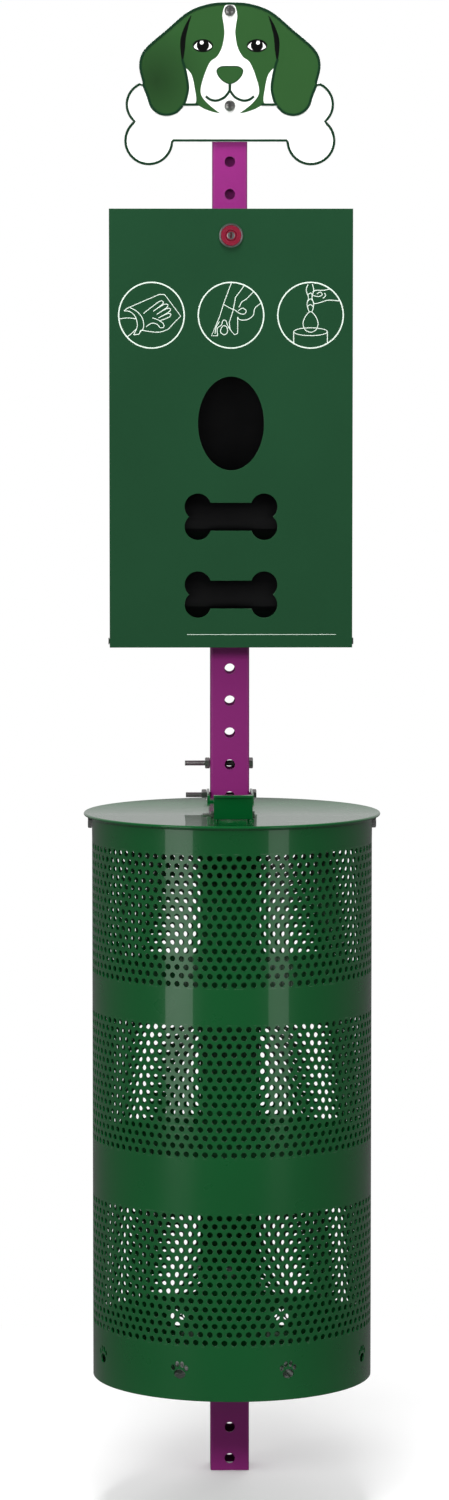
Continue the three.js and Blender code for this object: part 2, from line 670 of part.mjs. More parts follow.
// The cam lies on its side while the cover is free to open.
function lockCam() {
  const { front, sheet, half, heel, reach } = LOCK_CAM;
  const rise = [LOCK_HEIGHT - half, LOCK_HEIGHT + half];
  const blade = block([-heel, reach], [front, front + sheet], rise);
  const through = [-front - 2 * sheet, -front + sheet];
  return cut(blade, bar('y', LOCK.tail + GAP, through, lockAt, 20));
}

// A pack of flat bags hanging behind the oval opening.
function headerBagPack() {
  const { half, back, front, bottom, top, hole } = BAG_PACK;
  const pack = block([-half, half], [back, front], [bottom, top]);
  const holes = [-1, 1].map((side) => {
    return bar('y', hole, [-front - 5, -back + 5], [side * PEG_SPACING / 2, PEG_HEIGHT], 12);
  });
  return cut(pack, ...holes);
}

// Two pegs with turned-up ends, bent from one rod.
function bagHook() {
  const x = PEG_SPACING / 2;
  const { radius, front, lift, bend } = PEG;
  const back = BOX_BACK + SHEET + GAP + radius;
  const corner = (side, reach, rise) => new THREE.Vector3(side * x, -reach, PEG_HEIGHT + rise);
  const left = [corner(-1, front, lift), corner(-1, front, 0), corner(-1, back, 0)];
  const right = [corner(1, back, 0), corner(1, front, 0), corner(1, front, lift)];
  return bentRod([...left, ...right], radius, bend);
}

// A side plate with two open seats for the spindles and a foot on the housing's back.
function rollCradle(side) {
  const { inner, foot, front, margin, mouth } = CRADLE;
  const back = BOX_BACK + SHEET + GAP;
  const heights = Object.values(ROLL_HEIGHTS);
  const rise = [Math.min(...heights) - margin, Math.max(...heights) + margin];
  const plate = block(onSide(side, inner, inner + SHEET), [back, front], rise);
  const flange = block(onSide(side, inner, inner + foot), [back, back + SHEET], rise);
  const across = [-BOX_WIDTH / 2, BOX_WIDTH / 2];
  const seats = heights.flatMap((height) => {
    const radius = SPINDLE_RADIUS + GAP;
    const way = block(across, [0, mouth], [-radius, radius]);
    way.rotateX(-Math.PI / 6).translate(0, -ROLL_FRONT, height);
    return [bar('x', radius, across, [-ROLL_FRONT, height], 20), way];
  });
  return cut(join(plate, flange), ...seats);
}

function hollowRoll(outer, inner, halfLength, height, sides) {
  return revolve('x', [
    [inner, -halfLength], [outer, -halfLength], [outer, halfLength], [inner, halfLength],
  ], [-ROLL_FRONT, height], sides);
}

// A flat ring that packs out the narrower upper tube behind the dispenser.
function dispenserSpacer() {
  const ends = [-(BOX_BACK - GAP), -(UPPER_TUBE / 2 + GAP)];
  const at = [0, DISPENSER_BOLT_HIGH];
  const hole = bar('y', TEN_MM.radius + GAP, [ends[0] - 5, ends[1] + 5], at, 12);
  return cut(bar('y', SPACER_RADIUS, ends, at, 20), hole);
}

function dispenserBolt(height, tubeWidth) {
  const seat = -(BOX_BACK + SHEET + GAP);
  return hexBolt('y', TEN_MM, seat, tubeWidth / 2 + 13, [0, height]);
}

// ------------------------------------------------------------------ assembly

const paint = (color, roughness, metalness) => {
  return new THREE.MeshStandardMaterial({ color, roughness, metalness, flatShading: true });
};
const green = () => paint(0x045326, 0.3, 0.1);
const purple = () => paint(0x832670, 0.35, 0.1);
const zinc = () => paint(0xb4b6b8, 0.35, 0.9);
const white = () => paint(0xf0f2ee, 0.4, 0.0);
const black = () => paint(0x141414, 0.6, 0.0);
const film = () => paint(0x1c1c1e, 0.45, 0.0);
const card = () => paint(0xa98a63, 0.9, 0.0);
const red = () => paint(0x9c1c22, 0.4, 0.2);

// The pieces are shaped about the post's axis; their group stands behind the origin.
const station = new THREE.Group();
const pieces = new THREE.Group();
pieces.position.y = POST_SETBACK;
station.add(pieces);

function add(name, geometry, material) {
  const mesh = new THREE.Mesh(geometry, material);
  mesh.name = name;
  pieces.add(mesh);
}

function addCrossBolt(prefix, halfWidth, tip, height) {
  const { bolt, nut } = crossBolt(halfWidth, tip, height);
  add(`${prefix}_bolt`, bolt, zinc());
  add(`${prefix}_nut`, nut, zinc());
}

add('lower_post', lowerPost(), purple());
add('upper_post', upperPost(), purple());
add('post_cap', postCap(), black());
addCrossBolt('tube_lock', LOWER_TUBE / 2, CROSS_BOLT_TIPS.tubeLock, TUBE_LOCK_HEIGHT);
addCrossBolt('stop', LOWER_TUBE / 2, CROSS_BOLT_TIPS.stop, STOP_HEIGHT);

add('sign_plate', signPlate(), white());
['lower', 'upper'].forEach((place, index) => {
  const height = SIGN_BOLT_HEIGHTS[index];
  const nut = hexNut('y', QUARTER_INCH, UPPER_TUBE / 2 + GAP, 1, [0, height]);
  add(`${place}_sign_bolt`, signBolt(height), zinc());
  add(`${place}_sign_nut`, nut, zinc());
});

add('can_body', canBody(), green());
add('can_base', canBase(), green());
add('can_back_strip', backStrip(), green());
add('bag_ring', bagRing(), zinc());
EACH_SIDE.forEach(([place, side]) => {
  add(`${place}_ring_bolt`, ringBolt(side), zinc());
  add(`${place}_ring_nut`, ringNut(side), zinc());
});
[['lower', LOWER_BRACKET_HEIGHT], ['upper', UPPER_BRACKET_HEIGHT]].forEach(([place, height]) => {
  add(`${place}_can_bracket`, canBracket(height), green());
  add(`${place}_can_rivet`, canRivet(height), zinc());
  addCrossBolt(`${place}_bracket`, bracketHalf, CROSS_BOLT_TIPS.bracket, height);
});

add('lid', lid(), green());
add('lid_hinge_bracket', lidHingeBracket(), green());
addCrossBolt('lid_hinge', EAR_INNER + EAR_SHEET, CROSS_BOLT_TIPS.hinge, HINGE_HEIGHT);
EACH_SIDE.forEach(([place, side]) => add(`${place}_lid_rivet`, lidRivet(side), zinc()));
add('lid_handle', lidHandle(), green());
add('handle_bolt', hexBolt('x', FOUR_MM, HANDLE_HALF + GAP, -HANDLE_HALF - 12, handleAt), zinc());
add('handle_nut', hexNut('x', FOUR_MM, -HANDLE_HALF - GAP, -1, handleAt), zinc());

add('dispenser_housing', dispenserHousing(), green());
add('dispenser_cover', dispenserCover(), green());
EACH_SIDE.forEach(([place, side]) => add(`${place}_cover_pin`, coverPin(side), zinc()));
add('lock_barrel', lockBarrel(), zinc());
add('lock_nut', lockNut(), zinc());
add('lock_plug', lockPlug(), red());
add('lock_cam', lockCam(), zinc());
add('header_bag_pack', headerBagPack(), film());
add('bag_hook', bagHook(), zinc());
EACH_SIDE.forEach(([place, side]) => add(`${place}_roll_cradle`, rollCradle(side), zinc()));
Object.entries(ROLL_HEIGHTS).forEach(([place, height]) => {
  const spindle = hollowRoll(SPINDLE_RADIUS, SPINDLE_RADIUS - 1.5, 112, height, 20);
  const core = hollowRoll(CORE_RADIUS, SPINDLE_RADIUS + 0.7, ROLL_WIDTH / 2 + 4, height, 20);
  const roll = hollowRoll(ROLL_RADIUS, CORE_RADIUS + GAP, ROLL_WIDTH / 2, height, 30);
  add(`${place}_spindle`, spindle, zinc());
  add(`${place}_roll_core`, core, card());
  add(`${place}_bag_roll`, roll, film());
});
add('dispenser_spacer', dispenserSpacer(), zinc());
[['lower', DISPENSER_BOLT_LOW, LOWER_TUBE], ['upper', DISPENSER_BOLT_HIGH, UPPER_TUBE]]
  .forEach(([place, height, width]) => {
    const nut = hexNut('y', TEN_MM, width / 2 + GAP, 1, [0, height]);
    add(`${place}_dispenser_bolt`, dispenserBolt(height, width), zinc());
    add(`${place}_dispenser_nut`, nut, zinc());
  });

export default station;
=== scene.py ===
"""Looks of a dog waste station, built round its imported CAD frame.

The frame is in metres: the origin is at the height of the post's foot, +Z is up and the front faces -Y.
Lengths in this script are written in millimetres times MM.
"""

import math
import random

import bmesh
import bpy
from mathutils import Matrix, Vector, noise


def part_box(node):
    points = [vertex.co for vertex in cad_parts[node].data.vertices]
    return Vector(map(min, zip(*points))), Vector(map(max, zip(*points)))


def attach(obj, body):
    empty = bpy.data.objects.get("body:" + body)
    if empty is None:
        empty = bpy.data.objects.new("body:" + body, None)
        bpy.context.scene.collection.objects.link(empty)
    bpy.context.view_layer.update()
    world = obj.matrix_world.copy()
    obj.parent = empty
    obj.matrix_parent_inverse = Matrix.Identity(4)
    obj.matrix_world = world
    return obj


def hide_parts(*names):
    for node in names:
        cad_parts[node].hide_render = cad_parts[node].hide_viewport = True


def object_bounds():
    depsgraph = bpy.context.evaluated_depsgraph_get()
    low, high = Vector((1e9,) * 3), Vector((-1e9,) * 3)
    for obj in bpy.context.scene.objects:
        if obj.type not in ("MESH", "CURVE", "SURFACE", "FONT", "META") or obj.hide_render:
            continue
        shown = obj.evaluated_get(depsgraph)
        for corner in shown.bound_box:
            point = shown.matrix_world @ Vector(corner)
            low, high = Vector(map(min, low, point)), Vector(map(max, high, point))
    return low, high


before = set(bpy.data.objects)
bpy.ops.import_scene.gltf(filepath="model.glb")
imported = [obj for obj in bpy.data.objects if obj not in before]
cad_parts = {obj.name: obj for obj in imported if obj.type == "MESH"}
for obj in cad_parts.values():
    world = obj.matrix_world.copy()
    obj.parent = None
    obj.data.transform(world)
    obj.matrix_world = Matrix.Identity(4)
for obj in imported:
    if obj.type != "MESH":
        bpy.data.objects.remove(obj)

cad_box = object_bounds()

MM = 0.001
TAU = 2 * math.pi
UP = Vector((0, 0, 1))
BACKWARDS = Vector((0, 1, 0))
POST_Y = (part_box("lower_post")[0].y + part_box("lower_post")[1].y) / 2     # the post's axis

# The can's sheet: rows of staggered holes in three bands.
WALL = 1.5 * MM
RIM_BEAD = 2.8 * MM
HOLES_ROUND = 92
HOLE_STEPS = 2 * HOLES_ROUND
HOLE_RADIUS = 3.3 * MM
ROW_PITCH = 9.27 * MM
BAND_ROWS = 16
BAND_TOPS = [33.8 * MM, 222.1 * MM, 431.3 * MM]     # below the can's rim, to each band's first row
PAWS = 8
PAW_HEIGHT = 33 * MM                                # above the can's foot

# The post's drilling.
POST_HOLE = 6 * MM
POST_PITCH = 37 * MM
POST_WALL = 2 * MM
POST_HOLES = 33                                     # in the whole series
UPPER_START = 28                                    # how many of them stand below the upper tube
BOLT_HOLE = 3.5 * MM
DRILL_REACH = 40 * MM

# The cover's openings and printing.
OVAL = (37.25 * MM, 52.85 * MM)
OVAL_CENTRE = 1223.1 * MM
BONE_LENGTH = 105 * MM
BONE_SHAFT = 31.6 * MM
BONE_LOBE = 15 * MM
BONE_RISE = 11.3 * MM
SYMBOL_RADIUS = 36.9 * MM
SYMBOL_SPACING = 89.7 * MM
SYMBOL_HEIGHT = 1345 * MM
LINE = 0.85 * MM                                    # half the width of a printed line
FLAT = 20                                           # degrees; keeps a rounded edge off a sheet's shading


# ---------------------------------------------------------------- frame helpers

def centre(node):
    low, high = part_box(node)
    return (low + high) / 2


def size(node):
    low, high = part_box(node)
    return high - low


def unit(axis, sign=1):
    """The direction of axis 0, 1 or 2."""
    return Vector([sign if i == axis else 0 for i in range(3)])


def on_axis(node, axis, place):
    """A node's centre, moved along one axis to a place."""
    at = centre(node)
    at[axis] = place
    return at


# ---------------------------------------------------------------- mesh helpers


def finish_piece(piece, body, material, replaces=(), angle=35):
    """Gives a piece its material and body, smooth shading with sharp edges, and hides the CAD nodes it stands
    for.
    """
    piece.data.materials.clear()
    piece.data.materials.append(material)
    piece.data.shade_smooth()
    piece.data.set_sharp_from_angle(angle=math.radians(angle))
    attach(piece, body)
    if replaces:
        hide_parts(*replaces)
    return piece


def stand_in(node, mesh, body, material, angle=35):
    """A piece that stands for one CAD node."""
    return finish_piece(object_from(node + "_fine", mesh), body, material, [node], angle)


def object_from(name, mesh):
    piece = bpy.data.objects.new(name, mesh)
    bpy.context.scene.collection.objects.link(piece)
    return piece


def welded(mesh, reach=1e-7):
    """Joins a mesh's meeting vertices and turns its faces outwards."""
    work = bmesh.new()
    work.from_mesh(mesh)
    bmesh.ops.remove_doubles(work, verts=work.verts, dist=reach)
    bmesh.ops.recalc_face_normals(work, faces=work.faces)
    work.to_mesh(mesh)
    work.free()
    return mesh


def mesh_from(name, vertices, faces):
    mesh = bpy.data.meshes.new(name)
    mesh.from_pydata(vertices, [], faces)
    mesh.validate()
    return welded(mesh)


def ring_stack(name, rings, closed=False):
    """A skin over rings of equal length. Closed joins last to first, otherwise the ends are capped."""
    count = len(rings[0])
    vertices = [point for ring in rings for point in ring]
    faces = []
    spans = len(rings) if closed else len(rings) - 1
    for i in range(spans):
        a, b = i * count, ((i + 1) % len(rings)) * count
        for j in range(count):
            k = (j + 1) % count
            faces.append((a + j, a + k, b + k, b + j))
    if not closed:
        faces.append(tuple(range(count)))
        faces.append(tuple((len(rings) - 1) * count + j for j in range(count)))
    return mesh_from(name, vertices, faces)


def circle(radius, height, count):
    steps = [TAU * j / count for j in range(count)]
    return [(radius * math.cos(a), radius * math.sin(a), height) for a in steps]


def lathe(name, outline, count=64):
    """A solid of revolution about Z, capped where its outline meets the axis, else closed on itself."""
    hollow = outline[0][0] > 0 and outline[-1][0] > 0 and outline[0] != outline[-1]
    rings = [circle(max(radius, 1e-6), height, count) for radius, height in outline]
    return ring_stack(name, rings, closed=hollow)


def aimed(mesh, direction, at):
    """Turns a mesh made along +Z towards a direction and moves it."""
    turn = UP.rotation_difference(Vector(direction)).to_matrix().to_4x4()
    mesh.transform(Matrix.Translation(at) @ turn)
    return mesh


def box_mesh(name, low, high):
    work = bmesh.new()
    bmesh.ops.create_cube(work, size=1)
    scale = Matrix.Diagonal([high[i] - low[i] for i in range(3)] + [1])
    place = Matrix.Translation([(high[i] + low[i]) / 2 for i in range(3)])
    bmesh.ops.transform(work, matrix=place @ scale, verts=work.verts)
    mesh = bpy.data.meshes.new(name)
    work.to_mesh(mesh)
    work.free()
    return mesh


def merged(name, meshes):
    """One mesh that holds several."""
    work = bmesh.new()
    for mesh in meshes:
        work.from_mesh(mesh)
    result = bpy.data.meshes.new(name)
    work.to_mesh(result)
    work.free()
    return result


def shown_mesh(piece):
    """The mesh that a piece's modifiers, or a curve, make."""
    bpy.context.view_layer.update()
    shown = piece.evaluated_get(bpy.context.evaluated_depsgraph_get())
    return bpy.data.meshes.new_from_object(shown)


def applied(piece):
    """Replaces a piece's mesh by its modified one."""
    mesh = shown_mesh(piece)
    piece.modifiers.clear()
    piece.data = mesh
    return piece


def cut_away(piece, cutters):
    tool = object_from("cutter", merged("cutter", cutters))
    cut = piece.modifiers.new("cut", "BOOLEAN")
    cut.solver = "EXACT"
    cut.use_self = True
    cut.object = tool
    applied(piece)
    bpy.data.objects.remove(tool)
    return piece


def bevelled(piece, width, segments=2, angle=40):
    bevel = piece.modifiers.new("bevel", "BEVEL")
    bevel.width = width
    bevel.segments = segments
    bevel.limit_method = "ANGLE"
    bevel.angle_limit = math.radians(angle)
    bevel.use_clamp_overlap = True
    return applied(piece)


def fine_copy(node, body, material, width=0.4 * MM):
    """Shows a CAD node with its flat faces made whole again and its edges rounded."""
    work = bmesh.new()
    work.from_mesh(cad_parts[node].data)
    bmesh.ops.remove_doubles(work, verts=work.verts, dist=1e-6)
    bmesh.ops.dissolve_limit(
        work, angle_limit=math.radians(0.5), verts=work.verts, edges=work.edges, delimit={"NORMAL"})
    mesh = bpy.data.meshes.new(node + "_fine")
    work.to_mesh(mesh)
    work.free()
    finish_piece(bevelled(object_from(node + "_fine", mesh), width), body, material, [node])


def curve_mesh(curve, lines, closed):
    """The mesh of a curve that runs along each line of points."""
    for line in lines:
        spline = curve.splines.new("POLY")
        spline.points.add(len(line) - 1)
        for point, place in zip(spline.points, line):
            point.co = (*place, 1)
        spline.use_cyclic_u = closed
    holder = object_from(curve.name, curve)
    mesh = shown_mesh(holder)
    bpy.data.objects.remove(holder)
    return mesh


def flat_curve(name, outlines, depth, round_edge):
    """A flat sheet with holes, in the XZ plane with its front face at y = 0 and its back behind it."""
    curve = bpy.data.curves.new(name, "CURVE")
    curve.dimensions = "2D"
    curve.fill_mode = "BOTH"
    curve.extrude = depth / 2 - round_edge
    curve.bevel_depth = round_edge
    curve.bevel_resolution = 1
    curve.offset = -round_edge
    mesh = welded(curve_mesh(curve, [[(x, z, 0) for x, z in outline] for outline in outlines], True), 1e-6)
    mesh.transform(Matrix.Translation((0, depth / 2, 0)) @ Matrix.Rotation(math.pi / 2, 4, "X"))
    return mesh


def rod_mesh(name, path, radius, closed=False, resolution=1):
    """A round rod along a path."""
    curve = bpy.data.curves.new(name, "CURVE")
    curve.dimensions = "3D"
    curve.bevel_depth = radius
    curve.bevel_resolution = resolution
    curve.use_fill_caps = True
    return curve_mesh(curve, [path], closed)


def printed_line(points, closed, half_width, front):
    """A thin raised line of print on a face at y = front."""
    mesh = rod_mesh("line", [(x, 0, z) for x, z in points], half_width, closed)
    mesh.transform(Matrix.Translation((0, front, 0)) @ Matrix.Diagonal((1, 0.25, 1, 1)))
    return mesh


def sheet_mesh(name, columns, rows, place):
    """A closed sheet of two skins, where place(skin, i, j) is a skin's point in row i and column j."""
    width = columns + 1
    skins = [[place(skin, i, j) for i in range(rows + 1) for j in range(width)] for skin in (0, 1)]
    count = len(skins[0])
    faces = []
    for i in range(rows):
        for j in range(columns):
            a = i * width + j
            b, c, d = a + 1, a + width + 1, a + width
            faces += [(a, b, c, d), (count + d, count + c, count + b, count + a)]
    border = [j for j in range(columns)]
    border += [i * width + columns for i in range(rows)]
    border += [rows * width + j for j in range(columns, 0, -1)]
    border += [i * width for i in range(rows, 0, -1)]
    faces += [(b, a, count + a, count + b) for a, b in zip(border, border[1:] + border[:1])]
    return mesh_from(name, skins[0] + skins[1], faces)


def smooth_line(points, closed, steps=8):
    """Catmull-Rom curve through points."""
    count = len(points)
    pick = (lambda i: points[i % count]) if closed else (lambda i: points[max(0, min(count - 1, i))])
    result = []
    for i in range(count if closed else count - 1):
        p0, p1, p2, p3 = pick(i - 1), pick(i), pick(i + 1), pick(i + 2)
        for s in range(steps):
            t = s / steps
            result.append(tuple(
                0.5 * (2 * b + (c - a) * t + (2 * a - 5 * b + 4 * c - d) * t * t
                       + (3 * b - a - 3 * c + d) * t ** 3)
                for a, b, c, d in zip(p0, p1, p2, p3)))
    if not closed:
        result.append(tuple(points[-1]))
    return result


# ---------------------------------------------------------------- materials

def linear(r, g, b):
    """A colour given in sRGB, 0 to 255, as linear light."""
    channel = lambda c: c / 12.92 if c <= 0.04045 else ((c + 0.055) / 1.055) ** 2.4
    return (*[channel(c / 255) for c in (r, g, b)], 1)


class Nodes:
    """A short way to write the node tree of a material or a world."""

    def __init__(self, owner, coordinates="Object"):
        owner.use_nodes = True
        self.owner = owner
        self.tree = owner.node_tree
        self.shader = self.tree.nodes.get("Principled BSDF") or self.tree.nodes["Background"]
        self.place = self.add("ShaderNodeTexCoord").outputs[coordinates]

    def add(self, kind, values=None, **settings):
        node = self.tree.nodes.new(kind)
        for key, value in settings.items():
            setattr(node, key, value)
        for key, value in (values or {}).items():
            if isinstance(value, bpy.types.NodeSocket):
                self.tree.links.new(value, node.inputs[key])
            else:
                node.inputs[key].default_value = value
        return node

    def noise(self, scale, detail=4, stretch=(1, 1, 1)):
        place = self.add("ShaderNodeMapping", {"Vector": self.place, "Scale": stretch}).outputs[0]
        return self.add("ShaderNodeTexNoise", {"Vector": place, "Scale": scale, "Detail": detail}).outputs[0]

    def mapped(self, value, start, end, low=0.0, high=1.0):
        """A value from start to end, turned into one from low to high."""
        values = {"Value": value, "From Min": start, "From Max": end, "To Min": low, "To Max": high}
        return self.add("ShaderNodeMapRange", values).outputs["Result"]

    def spread(self, value, low, high):
        return self.mapped(value, 0.0, 1.0, low, high)

    def math(self, operation, a, b):
        return self.add("ShaderNodeMath", {0: a, 1: b}, operation=operation).outputs[0]

    def mix(self, factor, a, b):
        return self.add("ShaderNodeMix", {0: factor, 6: a, 7: b}, data_type="RGBA").outputs[2]

    def number(self, factor, a, b):
        """The number a where the factor is 0 and b where it is 1."""
        return self.add("ShaderNodeMix", {0: factor, 2: a, 3: b}).outputs[0]

    def distance(self, point):
        both = {0: self.place, 1: point}
        return self.add("ShaderNodeVectorMath", both, operation="DISTANCE").outputs["Value"]

    def edges(self, radius, low=0.02, high=0.14):
        """Near 1 on sharp edges, broken up by noise, and 0 on open faces."""
        soft = self.add("ShaderNodeBevel", {"Radius": radius}, samples=4).outputs[0]
        true = self.add("ShaderNodeNewGeometry").outputs["Normal"]
        facing = self.add("ShaderNodeVectorMath", {0: soft, 1: true}, operation="DOT_PRODUCT")
        raw = self.math("SUBTRACT", 1.0, facing.outputs["Value"])
        patchy = self.mapped(self.noise(160), 0.5, 0.68)
        return self.math("MULTIPLY", self.mapped(raw, low, high), patchy)

    def bump(self, height, strength, distance):
        values = {"Height": height, "Strength": strength, "Distance": distance}
        return self.add("ShaderNodeBump", values).outputs[0]

    def set(self, **values):
        for key, value in values.items():
            socket = self.shader.inputs[key.replace("_", " ")]
            if isinstance(value, bpy.types.NodeSocket):
                self.tree.links.new(value, socket)
            else:
                socket.default_value = value
        return self.owner


def shade(colour, factor):
    return (*[min(1, c * factor) for c in colour[:3]], 1)


def powder_coat(name, colour, roughness, coat, peel=0.05, shine=0.4):
    """Sprayed paint: slight mottling, orange peel, rubbed edges and a trace of dust."""
    n = Nodes(bpy.data.materials.new(name))
    mottled = n.mix(n.noise(7), shade(colour, 0.86), shade(colour, 1.14))
    speckled = n.mix(n.spread(n.noise(420, 2), 0, 0.14), mottled, shade(colour, 1.6))
    worn = n.mix(n.math("MULTIPLY", n.edges(0.9 * MM), 0.3), speckled, linear(140, 150, 142))
    peel_height = n.math("ADD", n.noise(520, 2), n.math("MULTIPLY", n.noise(26, 1), 0.6))
    rough = n.spread(n.noise(34), roughness - 0.05, roughness + 0.07)
    return n.set(
        Base_Color=worn, Roughness=rough, Specular_IOR_Level=shine, Coat_Weight=coat, Coat_Roughness=0.05,
        Normal=n.bump(peel_height, peel, 0.25 * MM))


def zinc_plate(name):
    """Bright zinc: blotchy, finely brushed, duller in patches."""
    n = Nodes(bpy.data.materials.new(name))
    n.set(Metallic=0.95)
    colour = n.mix(n.noise(90), linear(172, 172, 168), linear(226, 227, 228))
    stained = n.mix(n.spread(n.noise(33), -0.25, 0.35), colour, linear(150, 138, 112))
    brushed = n.noise(900, 2, (0.15, 1, 1))
    return n.set(
        Base_Color=stained, Roughness=n.spread(n.noise(140), 0.22, 0.46),
        Normal=n.bump(brushed, 0.15, 0.1 * MM))


def enamel(name, colour, roughness=0.38, shadow=None):
    """Flat ink or baked enamel. A shadow is a centre and a reach, and the print is darker round it."""
    n = Nodes(bpy.data.materials.new(name))
    mottled = n.mix(n.noise(12), shade(colour, 0.95), shade(colour, 1.04))
    if shadow:
        near = n.mapped(n.distance(shadow[0]), shadow[1], 0)
        mottled = n.mix(near, mottled, shade(colour, 0.5))
    return n.set(
        Base_Color=mottled, Roughness=n.spread(n.noise(60), roughness - 0.06, roughness + 0.1),
        Coat_Weight=0.15, Normal=n.bump(n.noise(380, 2), 0.05, 0.12 * MM))


def moulded(name, colour):
    """Moulded plastic with a fine spark-eroded grain."""
    n = Nodes(bpy.data.materials.new(name))
    mottled = n.mix(n.noise(55), shade(colour, 0.8), shade(colour, 1.35))
    return n.set(
        Base_Color=mottled, Roughness=n.spread(n.noise(200), 0.48, 0.66),
        Normal=n.bump(n.noise(1500, 2), 0.35, 0.2 * MM))


def bag_film(name, colour):
    """Thin polythene with stretched wrinkles, coloured lighter on their crests and darker in their hollows as
    painted shade, and a soft sheen.
    """
    n = Nodes(bpy.data.materials.new(name))
    wrinkle = n.noise(75, 5, (0.35, 1, 1.6))
    # painted shade: the film's colour follows the wrinkles' height, lighter on crests and darker in hollows
    mottled = n.mix(wrinkle, shade(colour, 0.7), shade(colour, 1.7))
    return n.set(
        Base_Color=mottled, Roughness=n.spread(n.noise(60), 0.3, 0.5),
        Normal=n.bump(wrinkle, 0.4, 0.6 * MM))


def cardboard(name):
    """Grey-brown board with fibres."""
    n = Nodes(bpy.data.materials.new(name))
    fibre = n.noise(420, 6, (0.3, 1, 1))
    colour = n.mix(fibre, linear(140, 112, 78), linear(190, 162, 122))
    return n.set(Base_Color=colour, Roughness=0.88, Normal=n.bump(fibre, 0.3, 0.2 * MM))


SIGN_EAR = (-84 * MM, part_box("sign_plate")[0].y, 1612 * MM)     # where the printed dog's right ear is shaded

GREEN = powder_coat("green_powder_coat", linear(2, 79, 34), 0.28, 0.85)
PANEL = powder_coat("panel_green", linear(26, 67, 41), 0.55, 0.0, 0.03, 0.2)
PURPLE = powder_coat("purple_powder_coat", linear(140, 38, 118), 0.38, 0.3, 0.05, 0.3)
ZINC = zinc_plate("zinc_steel")
WHITE = enamel("sign_enamel", linear(250, 252, 249))
SIGN_GREEN = enamel("sign_green", linear(42, 84, 40), shadow=(SIGN_EAR, 62 * MM))
SIGN_LINE = enamel("sign_line", linear(12, 50, 28))
INK = enamel("sign_black", linear(6, 8, 7))
PRINT = enamel("cover_print", linear(226, 240, 228))
RED = enamel("lock_red", linear(124, 24, 46), 0.28)
BLACK = moulded("black_plastic", linear(22, 22, 23))
FILM = bag_film("bag_film", linear(6, 6, 7))
CARD = cardboard("cardboard")


# ---------------------------------------------------------------- fasteners

def node_axis(node, pick):
    """The axis a node is longest along, with max, or shortest along, with min."""
    return pick(range(3), key=lambda i: size(node)[i])


def radial(node, axis):
    """(distance along the axis, distance from it) of each of a node's vertices."""
    middle = centre(node)
    others = [i for i in range(3) if i != axis]
    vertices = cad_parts[node].data.vertices
    return [(v.co[axis], math.hypot(*[v.co[i] - middle[i] for i in others])) for v in vertices]


def hexagon_ring(flats, height_at, count=48):
    ring = []
    for j in range(count):
        angle = TAU * j / count
        reach = flats / 2 / math.cos((angle % (TAU / 6)) - TAU / 12)
        ring.append((reach * math.cos(angle), reach * math.sin(angle), height_at(reach)))
    return ring


def hex_mesh(name, flats, height, bore=0.0, both=False):
    """A hexagon with chamfered corners, standing on z = 0. A bore makes it a nut."""
    rim = flats / 2 * 0.94
    drop = lambda reach: max(0, reach - rim) * math.tan(math.radians(30))
    low = hexagon_ring(flats, lambda reach: drop(reach) if both else 0)
    high = hexagon_ring(flats, lambda reach: height - drop(reach))
    rings = [circle(rim, 0, 48), low, high, circle(rim, height, 48)]
    if bore:
        lead = bore * 1.12
        rings = [circle(bore, bore * 0.15, 48), circle(lead, 0, 48)] + rings
        rings += [circle(lead, height, 48), circle(bore, height - bore * 0.15, 48)]
    return ring_stack(name, rings, closed=bool(bore))


def threaded_rod(name, radius, length, plain, pitch):
    """A rod along +Z from 0 whose end beyond "plain" carries a helical thread."""
    count = 20
    heights = [0.0, plain]
    while heights[-1] < length - pitch:
        heights.append(heights[-1] + pitch / 5)
    heights.append(length)
    rings = []
    for height in heights:
        ring = []
        for j in range(count):
            turn = j / count
            wave = abs(2 * ((height / pitch - turn) % 1) - 1)
            depth = 0.62 * pitch * wave if plain < height < length else 0
            taper = 0.9 if height == length else 1
            reach = (radius - 0.6 * depth) * taper
            ring.append((reach * math.cos(TAU * turn), reach * math.sin(TAU * turn), height))
        rings.append(ring)
    return ring_stack(name, rings)


def fine_bolt(node, body):
    axis = node_axis(node, max)
    rows = radial(node, axis)
    low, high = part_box(node)
    near = lambda place: max(away for along, away in rows if abs(along - place) < 1e-5)
    head_first = near(low[axis]) > near(high[axis])
    start, end = (low[axis], high[axis]) if head_first else (high[axis], low[axis])
    across = near(start)
    shank = near(end)
    head = max(abs(along - start) for along, away in rows if away > 1.25 * shank)
    length = abs(end - start)
    direction = unit(axis, 1 if end > start else -1)
    at = on_axis(node, axis, start)
    cap = hex_mesh("head", across * math.sqrt(3), head)
    aimed(cap, -direction, at + direction * head)
    buried = head * 0.6
    rod = threaded_rod("rod", shank, length - buried, (length - head) * 0.35, max(1.0 * MM, shank * 0.36))
    aimed(rod, direction, at + direction * buried)
    stand_in(node, merged(node, [cap, rod]), body, ZINC, 30)


def fine_nut(node, body):
    axis = node_axis(node, min)
    rows = radial(node, axis)
    low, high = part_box(node)
    across = max(away for _, away in rows)
    bore = min(away for _, away in rows)
    mesh = hex_mesh("nut", across * math.sqrt(3), high[axis] - low[axis], bore, both=True)
    stand_in(node, aimed(mesh, unit(axis), on_axis(node, axis, low[axis])), body, ZINC, 30)


def quarter_turn(steps):
    return [TAU / 4 * i / steps for i in range(steps + 1)]


def fine_rivet(node, body, axis):
    """Two domed heads on a plain shank."""
    low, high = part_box(node)
    length = high[axis] - low[axis]
    reach = max(away for _, away in radial(node, axis))
    head = 2.2 * MM
    dome = [(reach * math.sin(a), head * (1 - math.cos(a))) for a in quarter_turn(6)]
    neck = reach / 1.9
    outline = dome + [(neck, head), (neck, length - head)]
    outline += [(radius, length - height) for radius, height in reversed(dome)]
    mesh = aimed(lathe("rivet", outline, 32), unit(axis), on_axis(node, axis, low[axis]))
    stand_in(node, mesh, body, ZINC, 50)


